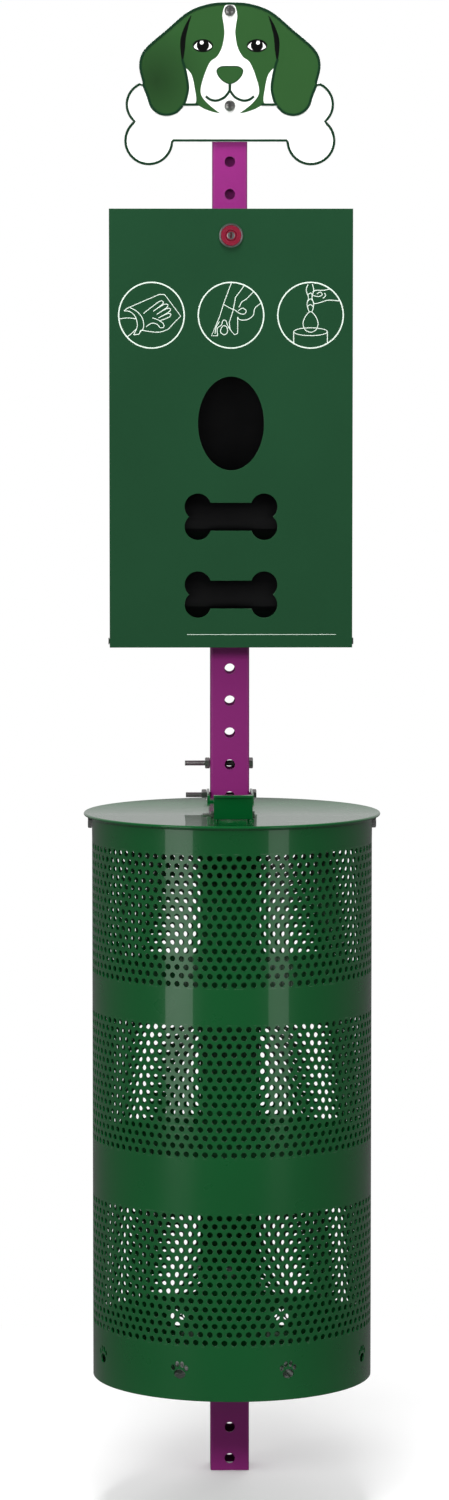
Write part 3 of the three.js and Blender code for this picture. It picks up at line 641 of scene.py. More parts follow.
def sign_bolt(node):
    """A pan head with a cross recess."""
    low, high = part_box(node)
    reach = max(away for _, away in radial(node, 1))
    shank = 3.2 * MM
    rise = 3.6 * MM
    length = high.y - low.y
    dome = [(reach * math.sin(a), rise * (1 - math.cos(a)) ** 0.8) for a in quarter_turn(8)]
    outline = dome + [(shank, rise), (shank, length), (0, length)]
    pan = aimed(lathe("pan", outline, 40), BACKWARDS, on_axis(node, 1, low.y))
    piece = object_from(node + "_fine", pan)
    arm, half, deep = 3.4 * MM, 0.75 * MM, 1.9 * MM
    middle = centre(node)
    tools = []
    for x, z in ((arm, half), (half, arm)):
        near = (middle.x - x, low.y - 5 * MM, middle.z - z)
        far = (middle.x + x, low.y + deep, middle.z + z)
        tools.append(box_mesh("arm", near, far))
    cut_away(piece, tools)
    finish_piece(piece, "station", ZINC, [node])


def make_fasteners():
    """Every bolt, nut and rivet. A name's first word tells what a fastener rides with."""
    owners = {"handle": "lid", "lock": "cover"}
    for node in list(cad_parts):
        words = node.split("_")
        body = owners.get(words[0], "station")
        if words[-1] == "bolt":
            if "sign" in words:
                sign_bolt(node)
            else:
                fine_bolt(node, body)
        if words[-1] == "nut":
            fine_nut(node, body)
        if words[-1] == "rivet":
            on_lid = "lid" in words
            fine_rivet(node, "lid" if on_lid else "station", 2 if on_lid else 1)


# ---------------------------------------------------------------- post

def square_ring(half, corner, height, per_corner=7):
    ring = []
    for x, y, turn in ((1, 1, 0), (-1, 1, 1), (-1, -1, 2), (1, -1, 3)):
        for i in range(per_corner):
            angle = (turn + i / (per_corner - 1)) * math.pi / 2
            px = x * (half - corner) + corner * math.cos(angle)
            ring.append((px, POST_Y + y * (half - corner) + corner * math.sin(angle), height))
    return ring


def drill(axis, radius, height, blind=False):
    """A cutter right through the post from its left or front, or through that wall only."""
    direction = (1, 0, 0) if axis == "x" else (0, 1, 0)
    start = (-DRILL_REACH, POST_Y, height) if axis == "x" else (0, POST_Y - DRILL_REACH, height)
    length = DRILL_REACH if blind else 2 * DRILL_REACH
    return aimed(lathe("drill", [(0, 0), (radius, 0), (radius, length), (0, length)], 32), direction, start)


def post(node, front_heights, side_heights, small_heights=(), blind_heights=()):
    """A square tube with its holes: front_heights and blind_heights for large ones, the others for bolts."""
    low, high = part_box(node)
    half = high.x
    inner = half - POST_WALL
    rings = [
        square_ring(inner, 1 * MM, low.z), square_ring(half, 3 * MM, low.z),
        square_ring(half, 3 * MM, high.z), square_ring(inner, 1 * MM, high.z)]
    piece = object_from(node + "_fine", ring_stack(node, rings, closed=True))
    tools = [drill("y", POST_HOLE, height) for height in front_heights]
    tools += [drill("y", POST_HOLE, height, True) for height in blind_heights]
    tools += [drill("y", BOLT_HOLE, height) for height in small_heights]
    tools += [drill("x", BOLT_HOLE, height) for height in side_heights]
    cut_away(piece, tools)
    finish_piece(piece, "station", PURPLE, [node])


def make_posts():
    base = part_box("lower_post")[0].z
    first = base + 14.2 * MM
    series = [first + POST_PITCH * i for i in range(POST_HOLES)]
    crossing = ("lower_bracket_bolt", "upper_bracket_bolt", "lid_hinge_bolt", "stop_bolt", "tube_lock_bolt")
    post("lower_post", series, [centre(name).z for name in crossing])
    top = centre("upper_dispenser_bolt").z
    blind = [top + POST_PITCH * i for i in range(1, 5)]
    screws = [centre(name).z for name in ("lower_sign_bolt", "upper_sign_bolt")]
    post("upper_post", [top] + series[UPPER_START:], [centre("tube_lock_bolt").z], screws, blind)
    fine_copy("post_cap", "station", BLACK, 0.5 * MM)


# ---------------------------------------------------------------- sign

# The outlines are points of x and height in millimetres, which metres() converts.
SIGN_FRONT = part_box("sign_plate")[0].y
BONE_LOW = (92.6, 1543.7, 28.2)         # an end lobe: x, height, radius
BONE_HIGH = (92.6, 1584.8, 26.6)
BONE_EDGE_HEIGHT = 1542.4
EDGE_LINE = 1.6                         # half the width of the sign's dark lines
INK_DEPTH = 0.16 * MM
INK_LAYER = 0.12 * MM
HEAD = [(99.3, 1608), (103.7, 1629), (97.5, 1647), (72.2, 1669.4), (46.9, 1690.2), (22, 1699), (0, 1700.5)]


def lobe(part, start, end, steps):
    x, height, radius = part
    angles = [math.radians(start + (end - start) * i / steps) for i in range(steps + 1)]
    return [(x + radius * math.cos(a), height + radius * math.sin(a)) for a in angles]


def mirrored(side):
    """Closes a right-hand half outline with its mirror image."""
    return side + [(-x, z) for x, z in reversed(side) if abs(x) > 0.01]


def metres(points):
    return [(x * MM, z * MM) for x, z in points]


def bone_and_head():
    """The sign's whole outline."""
    side = [(BONE_LOW[0] - BONE_LOW[2], BONE_EDGE_HEIGHT)]
    side += lobe(BONE_LOW, -176, 47, 24)
    side += lobe(BONE_HIGH, -48, 66, 14)
    side += smooth_line(HEAD, False, 6)
    return mirrored(side)


def inked(name, outline, layer, material):
    """A flat printed shape, a fraction of a millimetre proud of the plate; layers stack."""
    mesh = flat_curve(name, [metres(outline)], INK_DEPTH, 0.02 * MM)
    mesh.transform(Matrix.Translation((0, SIGN_FRONT - INK_DEPTH - INK_LAYER * layer, 0)))
    finish_piece(object_from(name, mesh), "station", material, angle=FLAT)


def inked_lines(name, lines, half_width):
    """Dark lines over every inked shape."""
    front = SIGN_FRONT - 0.1 * MM - INK_LAYER * 3
    meshes = [printed_line(metres(points), closed, half_width * MM, front) for points, closed in lines]
    finish_piece(object_from(name, merged(name, meshes)), "station", SIGN_LINE, angle=60)


def inset(points, amount):
    """Moves a closed outline inwards by an amount."""
    count = len(points)
    area = sum(points[i][0] * points[(i + 1) % count][1] - points[(i + 1) % count][0] * points[i][1]
               for i in range(count))
    side = 1 if area > 0 else -1
    result = []
    for i in range(count):
        (x0, z0), (x1, z1), (x2, z2) = points[i - 1], points[i], points[(i + 1) % count]
        dx, dz = x2 - x0, z2 - z0
        length = math.hypot(dx, dz) or 1
        result.append((x1 - side * dz / length * amount, z1 + side * dx / length * amount))
    return result


def ellipse(x, z, rx, rz, count=40):
    return [(x + rx * math.cos(TAU * i / count), z + rz * math.sin(TAU * i / count)) for i in range(count)]


def make_sign():
    plate = flat_curve("sign_plate_fine", [metres(bone_and_head())], size("sign_plate").y, 0.25 * MM)
    plate.transform(Matrix.Translation((0, SIGN_FRONT, 0)))
    stand_in("sign_plate", plate, "station", WHITE, FLAT)

    ear_low = [(98.3, 1606), (93.4, 1594), (90, 1583.5), (83, 1576), (73, 1573), (62, 1575.5), (54, 1583)]
    neck = [(44, 1583.6), (36, 1583.6)]
    cheek = [(29, 1579.6), (19, 1576.2), (9.8, 1574.6), (0, 1574.4)]
    crown = inset(mirrored(smooth_line(HEAD, False, 6)), 0.8)
    half = len(crown) // 2
    rim = [point for point in reversed(crown[:half + 1]) if point[0] >= -0.01]
    fill = rim + smooth_line(ear_low, False, 5) + neck + smooth_line(cheek, False, 4)
    inked("head_fill", mirrored(fill), 0, SIGN_GREEN)

    muzzle = [(0, 1698.4), (5.4, 1696.4), (7.6, 1690.7), (8.4, 1684), (6.8, 1674), (6.2, 1664),
              (8.9, 1649.5), (14.8, 1638.7), (21.6, 1633.8), (26.6, 1624.6), (31.7, 1609.7), (33.4, 1599.8),
              (31.4, 1593), (25, 1585.5), (17, 1579), (9.8, 1574.4), (0, 1573.4)]
    inked("muzzle", mirrored(smooth_line(muzzle, False, 5)), 1, WHITE)
    nose_side = [(8, 1611.5), (13.6, 1618), (14.6, 1624), (9.5, 1627.6)]
    nose = [(0, 1608.1)] + nose_side + [(0, 1628)] + [(-x, z) for x, z in reversed(nose_side)]
    nose_line = smooth_line(nose, True, 5)
    inked("nose", nose_line, 2, SIGN_GREEN)

    neck_gap = [(51.6, 1626), (44.4, 1619.5), (40.6, 1606), (39, 1586.4), (51.6, 1586.4), (48.4, 1601),
                (49.6, 1615)]
    crease = [(44, 1685.4), (51, 1674), (56, 1660), (56.4, 1647), (54, 1632.5), (51.4, 1646), (50.2, 1660),
              (47, 1674)]
    eye = [(20.4, 1650.2), (25.4, 1655.6), (31, 1657.4), (37, 1655), (41, 1649.6), (36, 1646.4),
           (30.6, 1645.6), (25, 1646.6)]
    eye_x = 30.8
    for side, word in ((-1, "left"), (1, "right")):
        loop = lambda points: smooth_line([(side * x, z) for x, z in points], True, 5)
        inked(f"{word}_neck", loop(neck_gap), 1, WHITE)
        inked(f"{word}_ear_crease", loop(crease), 1, INK)
        inked(f"{word}_eye_rim", ellipse(side * eye_x, 1651.2, 11.6, 7.3), 1, INK)
        inked(f"{word}_eye", loop(eye), 2, WHITE)
        inked(f"{word}_iris", ellipse(side * eye_x, 1651.6, 7, 6.9), 3, INK)
        inked(f"{word}_glint", ellipse(side * (eye_x + 1.3), 1654.6, 2.2, 2.2, 20), 4, WHITE)

    inner_ear = [(54.4, 1636), (51.4, 1626), (48.6, 1612), (47.8, 1602), (50.4, 1590), (53.4, 1583.6)]
    mouth = [(0, 1600.6), (6, 1593), (14.8, 1589.2), (22, 1590.2), (27.5, 1594)]
    neck_foot = [(36, 1584.6), (46, 1584.6), (53, 1584.6)]
    lines = [(inset(bone_and_head(), EDGE_LINE), True)]
    for side in (-1, 1):
        for points in (ear_low, inner_ear, mouth, neck_foot):
            lines.append((smooth_line([(side * x, z) for x, z in points], False, 6), False))
    lines.append(([(0, 1608.5), (0, 1600.6)], False))
    inked_lines("sign_lines", lines, EDGE_LINE)
    inked_lines("nose_line", [(nose_line, True)], 0.5)


# ---------------------------------------------------------------- can

CAN_LOW, CAN_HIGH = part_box("can_body")
CAN_X = (CAN_LOW.x + CAN_HIGH.x) / 2
CAN_Y = (CAN_LOW.y + CAN_HIGH.y) / 2
CAN_OUT = (CAN_HIGH.x - CAN_LOW.x) / 2 - RIM_BEAD
CAN_IN = CAN_OUT - WALL


def on_can(radius, step, height):
    """A point of the can's wall; step counts half hole pitches round it."""
    angle = TAU * step / HOLE_STEPS
    return (CAN_X + radius * math.cos(angle), CAN_Y + radius * math.sin(angle), height)


def perforated_band(name, first_row):
    """A closed ring of sheet with staggered round holes.

    Each hole sits in a cell with eight border points, so that rows shifted by half a pitch share theirs.
    """
    sides = 16
    vertices, faces, index = [], [], {}

    def point(key, radius, step, height):
        if key not in index:
            index[key] = len(vertices)
            vertices.append(on_can(radius, step, height))
        return index[key]

    top = first_row + ROW_PITCH / 2
    for row in range(BAND_ROWS):
        shift = row % 2
        levels = [top - ROW_PITCH * (row + share) for share in (0, 0.5, 1)]
        for hole in range(HOLES_ROUND):
            middle = 2 * hole + 1 + shift
            skins = []
            for skin, radius in (("out", CAN_OUT), ("in", CAN_IN)):
                border = []
                for step, line in ((1, 1), (1, 0), (0, 0), (-1, 0), (-1, 1), (-1, 2), (0, 2), (1, 2)):
                    column = (middle + step) % HOLE_STEPS
                    key = (skin, column, 2 * row + line)
                    border.append(point(key, radius, column, levels[line]))
                edge = []
                for j in range(sides):
                    angle = TAU * j / sides
                    turn = HOLE_RADIUS * math.cos(angle) / CAN_OUT * HOLE_STEPS / TAU
                    height = levels[1] + HOLE_RADIUS * math.sin(angle)
                    edge.append(point((skin, row, hole, "edge", j), radius, middle + turn, height))
                flip = (lambda face: face) if skin == "out" else (lambda face: face[::-1])
                for m in range(8):
                    a, b = border[m], border[(m + 1) % 8]
                    h0, h1, h2 = edge[2 * m], edge[2 * m + 1], edge[(2 * m + 2) % sides]
                    for face in ((a, h1, h0), (a, b, h1), (b, h2, h1)):
                        faces.append(flip(face))
                skins.append(edge)
            for j in range(sides):
                k = (j + 1) % sides
                faces.append((skins[0][j], skins[0][k], skins[1][k], skins[1][j]))
    for line in (0, 2 * BAND_ROWS):
        for column in range(HOLE_STEPS):
            k = (column + 1) % HOLE_STEPS
            face = [index[("out", column, line)], index[("out", k, line)],
                    index[("in", k, line)], index[("in", column, line)]]
            faces.append(face if line == 0 else face[::-1])
    mesh = bpy.data.meshes.new(name)
    mesh.from_pydata(vertices, [], faces)
    finish_piece(object_from(name, mesh), "station", GREEN)


def can_ring(name, outline):
    rings = [[on_can(radius, step, height) for step in range(HOLE_STEPS)] for radius, height in outline]
    return object_from(name, ring_stack(name, rings, closed=True))


def paw_cutters():
    """Cutters for paw prints round the foot: a palm and four toes each, as x, height and two radii."""
    toes = [(-7.7, 3.0, 2.5, 3.3), (-2.9, 6.8, 2.5, 3.5), (2.9, 6.8, 2.5, 3.5), (7.7, 3.0, 2.5, 3.3)]
    pads = [(0, -3.8, 6.8, 5.2)] + toes
    tools = []
    for paw in range(PAWS):
        angle = (paw + 0.5) * TAU / PAWS
        for x, z, rx, rz in pads:
            ring = ellipse(x * MM, z * MM, rx * MM, rz * MM, 20)
            rings = [[(x2, z2, depth) for x2, z2 in ring] for depth in (-12 * MM, 12 * MM)]
            mesh = ring_stack("pad", rings)
            # the pad's own depth axis becomes the can's radius, its second axis becomes height
            turn = Matrix.Rotation(angle + math.pi / 2, 4, "Z") @ Matrix.Rotation(math.pi / 2, 4, "X")
            place = Vector(on_can(CAN_OUT, HOLE_STEPS * angle / TAU, CAN_LOW.z + PAW_HEIGHT))
            mesh.transform(Matrix.Translation(place) @ turn)
            tools.append(mesh)
    return tools


def make_can():
    rows = [CAN_HIGH.z - below for below in BAND_TOPS]
    edges = [(top + ROW_PITCH / 2, top + ROW_PITCH / 2 - ROW_PITCH * BAND_ROWS) for top in rows]
    for name, top in zip(("high_perforations", "middle_perforations", "low_perforations"), rows):
        perforated_band(name, top)
    bead = RIM_BEAD / 2
    curl = [(CAN_OUT + bead + bead * math.cos(a), CAN_HIGH.z - bead + bead * math.sin(a))
            for a in [math.radians(-140 + 23 * i) for i in range(11)]]
    wall = [(CAN_IN, edges[0][0]), (CAN_OUT, edges[0][0])]
    rim = can_ring("can_rim", wall + curl + [(CAN_IN, CAN_HIGH.z)])
    finish_piece(rim, "station", GREEN, ["can_body"])
    for name, above, below in (("high_plain_band", 0, 1), ("low_plain_band", 1, 2)):
        top, low = edges[above][1], edges[below][0]
        ring = can_ring(name, [(CAN_IN, low), (CAN_OUT, low), (CAN_OUT, top), (CAN_IN, top)])
        finish_piece(ring, "station", GREEN)
    soft = 0.5 * MM
    foot = can_ring("can_foot", [
        (CAN_IN, CAN_LOW.z + soft), (CAN_IN + soft, CAN_LOW.z), (CAN_OUT - soft, CAN_LOW.z),
        (CAN_OUT, CAN_LOW.z + soft), (CAN_OUT, edges[2][1]), (CAN_IN, edges[2][1])])
    cut_away(foot, paw_cutters())
    finish_piece(foot, "station", GREEN)

    low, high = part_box("bag_ring")
    reach = (high.x - low.x) / 2
    sheet = 2 * MM
    outline = [(reach - sheet, low.z), (reach - 0.3 * sheet, low.z - 0.2 * MM), (reach, low.z + 0.5 * MM),
               (reach, high.z - 0.5 * MM), (reach - 0.3 * sheet, high.z + 0.2 * MM), (reach - sheet, high.z)]
    ring = aimed(lathe("bag_ring", outline, 128), UP, (CAN_X, CAN_Y, 0))
    stand_in("bag_ring", ring, "station", ZINC)
    for node in ("can_back_strip", "lower_can_bracket", "upper_can_bracket"):
        fine_copy(node, "station", GREEN)
    fine_copy("can_base", "station", GREEN, 0.3 * MM)


# ---------------------------------------------------------------- lid

def make_lid():
    low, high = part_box("lid")
    reach = (high.x - low.x) / 2
    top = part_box("left_lid_rivet")[1].z - 5.8 * MM      # the lid's flat top, under bracket and rivet head
    sheet = 1.5 * MM
    roll = 1.7 * MM
    curl = [(reach - roll + roll * math.cos(a), top - roll * 0.6 + roll * math.sin(a))
            for a in [math.radians(-150 + 250 * i / 14) for i in range(15)]]
    outline = [(0, top - sheet), (reach - 3.4 * MM, top - sheet)] + curl
    outline += [(reach - 3.6 * MM, top), (0, top)]
    piece = object_from("lid_fine", aimed(lathe("lid_fine", outline, HOLE_STEPS), UP, (CAN_X, CAN_Y, 0)))
    half, forward, spare = 27.5 * MM, 46 * MM, 20 * MM      # the notch that clears the post
    notch = (-half, POST_Y - forward, top - spare), (half, POST_Y + spare, top + spare)
    cut_away(piece, [box_mesh("notch", *notch)])
    finish_piece(piece, "lid", GREEN, ["lid"])

    pin = centre("handle_bolt")
    inside, outside, half = 15.7 * MM, 18.2 * MM, 6 * MM
    for side, word in ((-1, "left"), (1, "right")):
        left, right = sorted((side * inside, side * outside))
        corners = (left, pin.y - half, top - 0.5 * MM), (right, pin.y + half, pin.z + 5 * MM)
        lug = object_from(f"{word}_handle_lug", box_mesh("lug", *corners))
        finish_piece(bevelled(lug, 0.8 * MM, 3), "lid", GREEN)
    for node in ("lid_hinge_bracket", "lid_handle"):
        fine_copy(node, "lid", GREEN, 0.6 * MM)


# ---------------------------------------------------------------- dispenser

def bone(middle):
    """A bone lying across the cover: four lobes joined by straight edges."""
    x = BONE_LENGTH / 2 - BONE_LOBE
    meet = math.degrees(math.asin((BONE_SHAFT / 2 - BONE_RISE) / BONE_LOBE))
    waist = math.degrees(math.asin(BONE_RISE / BONE_LOBE))
    outline = []
    for side, rise, start, end in ((1, 1, 180 - meet, -waist), (1, -1, waist, -180 + meet),
                                   (-1, -1, -meet, -180 - waist), (-1, 1, 180 + waist, meet)):
        for i in range(17):
            angle = math.radians(start + (end - start) * i / 16)
            height = middle + rise * BONE_RISE + BONE_LOBE * math.sin(angle)
            outline.append((side * x + BONE_LOBE * math.cos(angle), height))
    return outline


def curve_through(*points):
    return smooth_line(list(points), False, 5), False


def loop_through(*points):
    return smooth_line(list(points), True, 5), True


def straight(*points):
    return list(points), False


# The symbols' strokes are points in millimetres from the middle of their ring.
HAND_IN_BAG = [
    straight((-31, 5), (-27, 8), (9, 23.5), (15, 23), (33, -1), (24, -10)),
    curve_through((-31, 5), (-24, 4), (-18, -2), (-16, -12), (-20, -22)),
    curve_through((-24, 8.6), (-16, 4), (-10, -4), (-9, -14), (-13, -19)),
    curve_through((-20, -22), (-14, -21), (-12, -17), (-4, -18), (8, -19), (18, -16), (24, -10)),
    curve_through((-35.8, -4), (-27, -3), (-17.5, -4)),
    curve_through((-27, -24), (-22, -20), (-17.5, -16)),
    curve_through((-9, 2), (0, 9), (9, 15.5), (13, 15.5), (12, 12), (2, 4.5)),
    curve_through((2, 4.5), (12, 11), (17.5, 12.5), (17.5, 9), (6, 1)),
    curve_through((6, 1), (16, 7), (21, 7.5), (20, 4), (8, -3)),
    curve_through((8, -3), (17, 1.5), (21.5, 1.5), (20, -2), (10, -6)),
    curve_through((-6, -13), (0, -9), (6, -10), (10, -14), (14, -13), (13, -9), (7, -5), (1, -3))]
PICKING_UP = [
    straight((0.5, 36.6), (-8, 14), (-13, -2), (-22, -23), (-15, -23)),
    straight((15, 33.4), (5, 20), (2.5, 6), (-2, -8), (-1, -16), (4, -22), (7.5, -20), (7.5, -2)),
    straight((25.5, 26.4), (17, 18), (12, 15), (9, 9)),
    curve_through((34, 13.6), (27, 8), (25, 0), (18, -5), (10, -5), (7.5, -2)),
    curve_through((-8, 12), (-1, 8), (4, 6), (10, 2), (15, 1.5), (17, 5), (13, 8), (8, 5)),
    curve_through((-15, -23), (-15.5, -15), (-11, -11), (-9, -6), (-6, -6), (-4, -11), (-1, -16)),
    curve_through((-18, -21), (-17, -14), (-13, -7)),
    loop_through((-12, -18), (-9, -12), (-5, -13), (-4, -19), (-8, -22))]
KNOTTED_BAG = [
    loop_through((0, 4), (-5.5, -1), (-8.5, -9), (-6, -16.5), (0, -19), (6, -16.5), (8.5, -9), (5.5, -1)),
    curve_through((-1.6, 4), (-4, 12), (-2.5, 20), (-5, 28), (-3, 34.6)),
    curve_through((1.6, 4), (3.6, 12), (1.5, 20), (3.5, 28), (2, 35)),
    curve_through((-3.4, 10), (0, 12), (3.4, 9)),
    curve_through((-3, 16), (0, 18.5), (2.6, 16)),
    curve_through((-3, 23), (0, 25), (2.4, 22)),
    curve_through((22, 29.4), (14, 28), (6, 28), (2.4, 26)),
    curve_through((33, 16), (20, 17), (13, 15), (5, 13), (3.2, 15)),
    curve_through((3, 22), (9, 21), (13, 23), (11, 26), (7, 24)),
    curve_through((14, 19), (17, 22), (15.5, 25)),
    (ellipse(0, -18.5, 19, 4.4), True),
    straight((-19, -18.5), (-19, -31.4)),
    straight((19, -18.5), (19, -31.4))]


def make_symbol(name, place, drawing, front):
    """A plain line drawing inside a ring."""
    ring = ellipse(0, 0, SYMBOL_RADIUS / MM, SYMBOL_RADIUS / MM, 72)
    lines = [(ring, True, LINE)] + [(points, closed, 0.6 * LINE) for points, closed in drawing]
    meshes = []
    for points, closed, weight in lines:
        drawn = [(place * SYMBOL_SPACING + x * MM, SYMBOL_HEIGHT + z * MM) for x, z in points]
        meshes.append(printed_line(drawn, closed, weight, front))
    finish_piece(object_from(name, merged(name, meshes)), "cover", PRINT, angle=60)


def make_cover():
    low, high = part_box("dispenser_cover")
    panel = 2 * MM
    rect = [(low.x, low.z), (high.x, low.z), (high.x, high.z), (low.x, high.z)]
    lock = centre("lock_barrel")
    outlines = [
        rect, ellipse(0, OVAL_CENTRE, *OVAL, 72),
        bone(centre("upper_spindle").z), bone(centre("lower_spindle").z),
        ellipse(0, lock.z, 9.8 * MM, 9.8 * MM, 48)]
    sheet = flat_curve("cover_panel", outlines, panel, 0.35 * MM)
    sheet.transform(Matrix.Translation((0, low.y, 0)))
    finish_piece(object_from("cover_panel", sheet), "cover", PANEL, ["dispenser_cover"], FLAT)

    wall = 1.5 * MM
    near = low.y + panel * 0.5
    walls = [((low.x, near, high.z - wall), (high.x, high.y, high.z)),
             ((low.x, near, low.z), (low.x + wall, high.y, high.z - wall)),
             ((high.x - wall, near, low.z), (high.x, high.y, high.z - wall))]
    for word, (a, b) in zip(("top", "left", "right"), walls):
        flange = bevelled(object_from(f"cover_{word}_flange", box_mesh("flange", a, b)), 0.35 * MM)
        finish_piece(flange, "cover", PANEL)

    front = low.y - 0.05 * MM
    make_symbol("bag_symbol", -1, HAND_IN_BAG, front)
    make_symbol("pick_up_symbol", 0, PICKING_UP, front)
    make_symbol("bin_symbol", 1, KNOTTED_BAG, front)
    height = low.z + 14.8 * MM
    rule = printed_line([(-50 * MM, height), (119 * MM, height)], False, 0.3 * MM, front)
    finish_piece(object_from("cover_rule", rule), "cover", PRINT)


def make_lock():
    """A cam lock: ring, red face, turning plug with its key slot, nut and cam."""
    low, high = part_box("lock_barrel")
    at = (0, low.y, centre("lock_barrel").z)
    ring = (high.x - low.x) / 2
    bore = 6.3 * MM
    face = 2.2 * MM
    body = 9.5 * MM
    sunk = 1.1 * MM
    depth = high.y - low.y
    outline = [(bore, sunk), (ring - 2.2 * MM, sunk), (ring - 2.0 * MM, 0.2 * MM), (ring - 1.2 * MM, 0),
               (ring - 0.3 * MM, 0.6 * MM), (ring, face), (body, face), (body, depth), (bore, depth)]
    stand_in("lock_barrel", aimed(lathe("barrel", outline, 72), BACKWARDS, at), "cover", ZINC)
    edge = ring - 2.3 * MM
    disc = [(bore, 0.45 * MM), (edge - 0.3 * MM, 0.45 * MM), (edge, 0.8 * MM), (edge, sunk), (bore, sunk)]
    disc = aimed(lathe("disc", disc, 72), BACKWARDS, at)
    finish_piece(object_from("lock_face_disc", disc), "cover", RED)

    low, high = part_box("lock_plug")
    plug = (high.x - low.x) / 2
    length = high.y - low.y
    tail = 3 * MM
    boss = 4.3 * MM
    step = 0.5 * MM
    neck = length - 4 * MM
    keyway = (-0.85 * MM, low.y - 2 * MM, at[2] - 3.4 * MM), (0.85 * MM, low.y + 5 * MM, at[2] + 3.4 * MM)
    core = [(0, step), (plug * 0.9, step), (plug, 1.1 * MM), (plug, neck), (tail, neck), (tail, length),
            (0, length)]
    front = [(0, 0), (boss * 0.86, 0), (boss, 0.3 * MM), (boss, step), (0, step)]
    for name, shape, material, node in (("lock_plug_fine", core, RED, ["lock_plug"]),
                                        ("keyway_boss", front, ZINC, [])):
        piece = object_from(name, aimed(lathe(name, shape, 48), BACKWARDS, (0, low.y, at[2])))
        cut_away(piece, [box_mesh("keyway", *keyway)])
        finish_piece(piece, "lock_core", material, node)
    fine_copy("lock_cam", "lock_core", ZINC)


PEG_RADIUS = 2.5 * MM


def make_hook():
    """A bent rod: two pegs joined by a bar at the back, with their tips turned up."""
    low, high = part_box("bag_hook")
    radius = PEG_RADIUS
    peg = centre("header_bag_pack").x + (high.x - low.x) / 2 - radius
    height = low.z + radius
    corners = [Vector((-peg, low.y + radius, high.z)), Vector((-peg, low.y + radius, height)),
               Vector((-peg, high.y - radius, height)), Vector((peg, high.y - radius, height)),
               Vector((peg, low.y + radius, height)), Vector((peg, low.y + radius, high.z))]
    path = [corners[0]]
    for before, corner, after in zip(corners, corners[1:], corners[2:]):
        a = corner + (before - corner).normalized() * 6 * MM
        b = corner + (after - corner).normalized() * 6 * MM
        path += [a.lerp(corner, t).lerp(corner.lerp(b, t), t) for t in [i / 8 for i in range(9)]]
    path.append(corners[-1])
    stand_in("bag_hook", rod_mesh("hook", path, radius, resolution=4), "station", ZINC, 60)


def make_bag_pack():
    """Flat bags hung one behind another under a board header, each a little askew and rippled."""
    low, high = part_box("header_bag_pack")
    draw = random.Random(7)
    layers = 9
    depth = (high.y - low.y - 3 * MM) / layers
    header = 34 * MM
    top = high.z - header + 2 * MM
    columns, rows = 30, 34
    meshes = []
    for layer in range(layers):
        near = low.y + 1.5 * MM + depth * layer
        half = (high.x - low.x) / 2 - draw.uniform(0.5, 3) * MM
        bottom = low.z + draw.uniform(1, 9) * MM

        def place(skin, i, j):
            x = -half + 2 * half * j / columns
            z = bottom + (top - bottom) * i / rows
            loose = 1 - i / rows
            ripple = noise.noise(Vector((x * 34, z * 12, layer * 3.1))) * 0.9 * MM * loose
            return (x, min(max(near + skin * depth * 0.72 + ripple, low.y), high.y), z)

        meshes.append(sheet_mesh("bag", columns, rows, place))
    bags = object_from("hanging_bags", merged("hanging_bags", meshes))
    finish_piece(bags, "station", FILM, ["header_bag_pack"], 50)
    near = (low.x + 1 * MM, low.y + 0.4 * MM, high.z - header)
    far = (high.x - 1 * MM, high.y - 0.4 * MM, high.z)
    board = object_from("bag_header", box_mesh("header", near, far))
    peg_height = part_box("bag_hook")[0].z + PEG_RADIUS
    peg = size("bag_hook").x / 2 - PEG_RADIUS
    hole, deep = 4.5 * MM, 60 * MM
    outline = [(0, 0), (hole, 0), (hole, deep), (0, deep)]
    holes = [aimed(lathe("hole", outline, 32), BACKWARDS, (side * peg, low.y - 10 * MM, peg_height))
             for side in (-1, 1)]
    cut_away(board, holes)
    finish_piece(bevelled(board, 0.5 * MM), "station", CARD)


def roll_mesh(name, radius, bore, half, at):
    """Wound film with ridged ends and a faintly uneven skin."""
    angles = [TAU * j / 72 for j in range(72)]
    turns = 12
    steps = 24

    def ring(reach, along):
        return [(along, reach * math.cos(a), reach * math.sin(a)) for a in angles]

    def skin(a, along):
        uneven = noise.noise(Vector((along * 40, math.cos(a) * 1.6, math.sin(a) * 1.6))) * 0.5 * MM
        reach = radius - 0.4 * MM + uneven
        return (along, reach * math.cos(a), reach * math.sin(a))

    ends = [(bore + (radius - bore) * i / turns, 0.45 * MM if i % 2 else 0) for i in range(turns + 1)]
    rings = [ring(reach, ridge - half) for reach, ridge in ends]
    rings += [[skin(a, -half + 2 * half * i / steps) for a in angles] for i in range(1, steps)]
    rings += [ring(reach, half - ridge) for reach, ridge in reversed(ends)]
    mesh = ring_stack(name, rings, closed=True)
    mesh.transform(Matrix.Translation(at))
    return mesh


def tail_mesh(name, radius, half, at):
    """The loose end of the film, lifting off the roll towards the slot in the cover."""
    columns, rows = 18, 14
    thick = 0.25 * MM

    def place(skin, i, j):
        share = i / rows
        angle = math.radians(140 + 62 * share)          # over the top of the roll and down its front
        x = -half * 0.94 + 2 * half * 0.94 * j / columns
        curl = 1.8 * MM * share ** 2 + noise.noise(Vector((x * 60, share * 3, 1))) * 0.5 * MM * share
        reach = radius + 0.15 * MM + max(0, curl) + skin * thick
        return (x, reach * math.cos(angle), reach * math.sin(angle))

    mesh = sheet_mesh(name, columns, rows, place)
    mesh.transform(Matrix.Translation(at))
    return mesh


